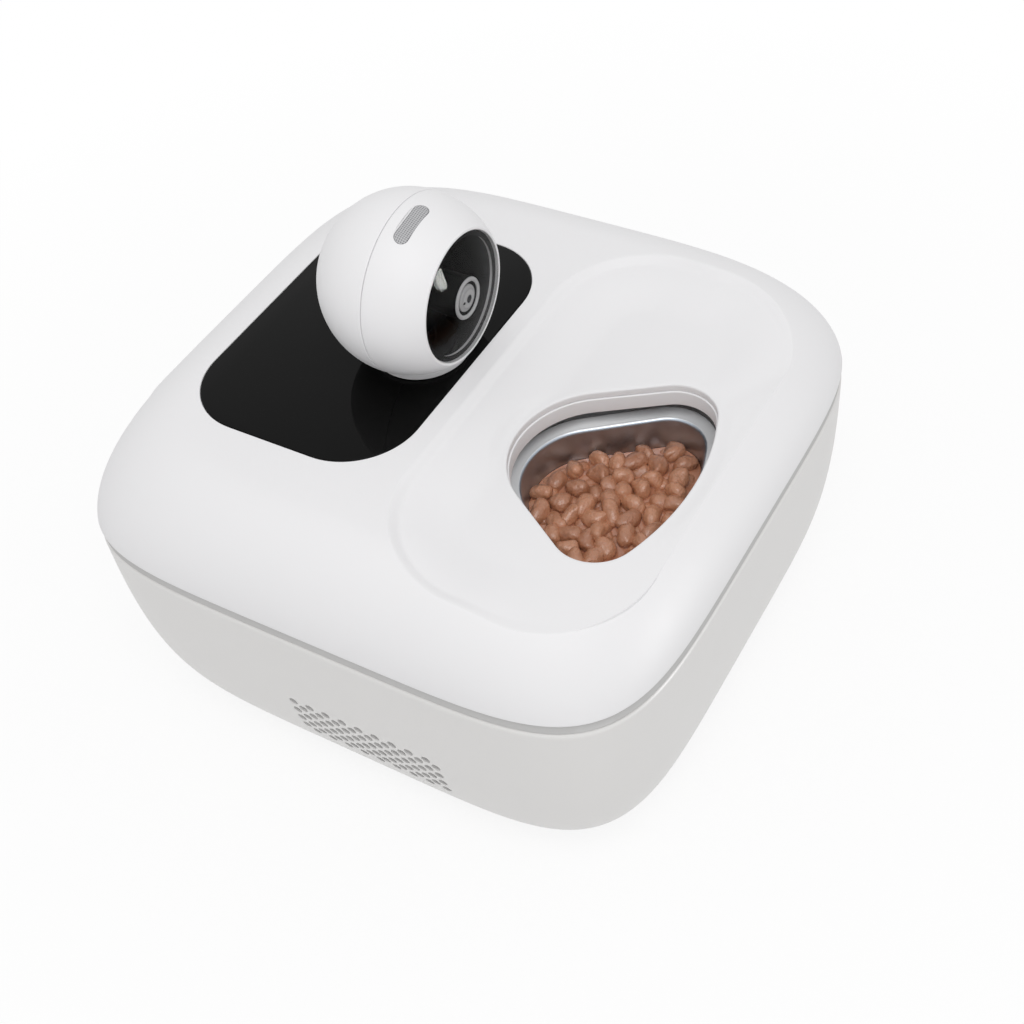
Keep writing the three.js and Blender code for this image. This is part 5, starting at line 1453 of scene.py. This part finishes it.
# Lens: a dark pupil in a grey disc, by the distance from the lens's axis, and a small dark dot beside it
def coatedLens():
    look = discLook
    shader = materialShader("coated_lens")
    middle = (0.0, (headPlace["y"] + casingShift[1]) * metre, headPlace["z"] * metre)
    flat = shader.vector("MULTIPLY", shader.vector("SUBTRACT", shader.place(), middle), (1.0, 0.0, 1.0))
    away = shader.vector("LENGTH", flat, output=1)
    share = away * (1.0 / (lens["glass"] * metre))
    disc = shader.node("ShaderNodeValToRGB", {"stops": look["stops"]}, {"Fac": share})
    dot = shader.vector("DISTANCE", flat, (lens["dotX"] * metre, 0.0, 0.0), 1)
    colour = shader.mixColour(dot < lens["dot"] * metre, disc, look["dot"])
    gloss = look["polish"] + shader.noise(look["hazeScale"]) * look["haze"]
    return shader.surface({"Base Color": colour, "Roughness": gloss})


# Neck under the ball, with a stem down through the panel
def cameraNeck():
    n = neck
    low = lidTop + fitGap
    top, size, bevel = low + n["height"], n["round"], n["bevel"]
    profile = path([n["bore"], n["under"]], [n["stem"], n["under"]], [n["stem"], low],
                   [n["radius"] - bevel, low], [n["radius"], low + bevel],
                   arc(n["radius"] - size, top - size, size, 0.0, 90.0, steps=6), [n["bore"], top])
    piece = makePiece("cameraNeck", turned(profile, 0.0, headPlace["y"], segments=160, closed=True))
    settle(piece, "lid", "casing_white", standsFor=["camera_foot"])


headRearShell()
headFrontShell()
statusLight()
faceWindow()
headLiner()
lensBarrel()
lensGlass()
cameraNeck()
print("camera made")


# The inner pieces keep their CAD meshes and take the finish of their slot in the record, but the yoke is
# painted black here as painted shade inside the head, so that nothing but the lens shows through the window

finishOf = {part["node"]: part["material_slot"] for part in frame["record"]["subparts"]}
# The yoke's black is painted shade
finishOf["camera_yoke"] = "black_plastic"
for name, node in nodes.items():
    if node.hide_render:
        continue
    finish = finishes[finishOf[name]]
    if node.material_slots:
        node.material_slots[0].material = finish
    else:
        node.data.materials.append(finish)


# Floor, lamps and world

white = rgb(1.0, 1.0, 1.0)
floorLook = {"colour": rgb(0.88, 0.88, 0.88), "glow": 0.8, "fade": 0.3, "half": 9000.0}
lamps = {
    "key": {"place": (-0.68, -0.58, 1.95), "size": (1.1, 1.1), "power": 16.0, "aim": (0.0, 0.0, 0.1),
            "glossOnly": False},
    "window": {"place": (0.262, -1.174, 0.154), "size": (0.15, 0.33), "power": 8.0,
               "aim": (-0.018, -0.011, 0.248), "glossOnly": True},
}
worldLook = {"ambient": 0.66}


# 1 for what the camera, gloss and glass see, and 0 for the light that falls on the object
def seenDirectly(shader):
    camera, glossy, through = (shader.node("ShaderNodeLightPath", output=f"Is {kind} Ray")
                               for kind in ("Camera", "Glossy", "Transmission"))
    return shader.maths("MAXIMUM", camera, glossy + through)


# Floor: it keeps the object's shadow and goes over to plain white further out
def addFloor():
    shader = materialShader("paleFloor")
    diffuse = shader.node("ShaderNodeBsdfDiffuse", None, {"Color": floorLook["colour"]})
    glow = shader.node("ShaderNodeEmission", None, {"Color": white, "Strength": 1.0})
    away = shader.vector("LENGTH", shader.place(), output=1)
    share = shader.maths("MINIMUM", 1.0, floorLook["glow"] + away * floorLook["fade"])
    mix = seenDirectly(shader) * share
    seen = shader.node("ShaderNodeMixShader", None, {"Fac": mix, 1: diffuse, 2: glow})
    shader.node("ShaderNodeOutputMaterial", None, {"Surface": seen})
    half = floorLook["half"]
    corners = np.array([[-half, -half, 0.0], [half, -half, 0.0], [half, half, 0.0], [-half, half, 0.0]])
    floor = makePiece("paleFloor", (corners, [[0, 1, 2, 3]]))
    floor.data.materials.append(shader.owner)


def addLamp(name, spec):
    data = bpy.data.lights.new(name, "AREA")
    data.shape = "RECTANGLE"
    data.size, data.size_y = spec["size"]
    data.energy = spec["power"]
    lamp = bpy.data.objects.new(name, data)
    bpy.context.scene.collection.objects.link(lamp)
    lamp.location = spec["place"]
    toward = Vector(spec["aim"]) - Vector(spec["place"])
    lamp.rotation_mode = "QUATERNION"
    lamp.rotation_quaternion = toward.to_track_quat("-Z", "Y")
    lamp.visible_diffuse = not spec["glossOnly"]


# World: white where it is seen directly, and a plain grey level as ambient light
def setWorld():
    world = bpy.data.worlds.new("studio")
    bpy.context.scene.world = world
    shader = Shader(world)
    strength = worldLook["ambient"] + seenDirectly(shader) * (1.0 - worldLook["ambient"])
    light = shader.node("ShaderNodeBackground", None, {"Color": white, "Strength": strength})
    shader.node("ShaderNodeOutputWorld", None, {"Surface": light})


addFloor()
for name, spec in lamps.items():
    addLamp(name, spec)
setWorld()
bpy.context.scene.view_settings.view_transform = "Standard"
print("stage made")
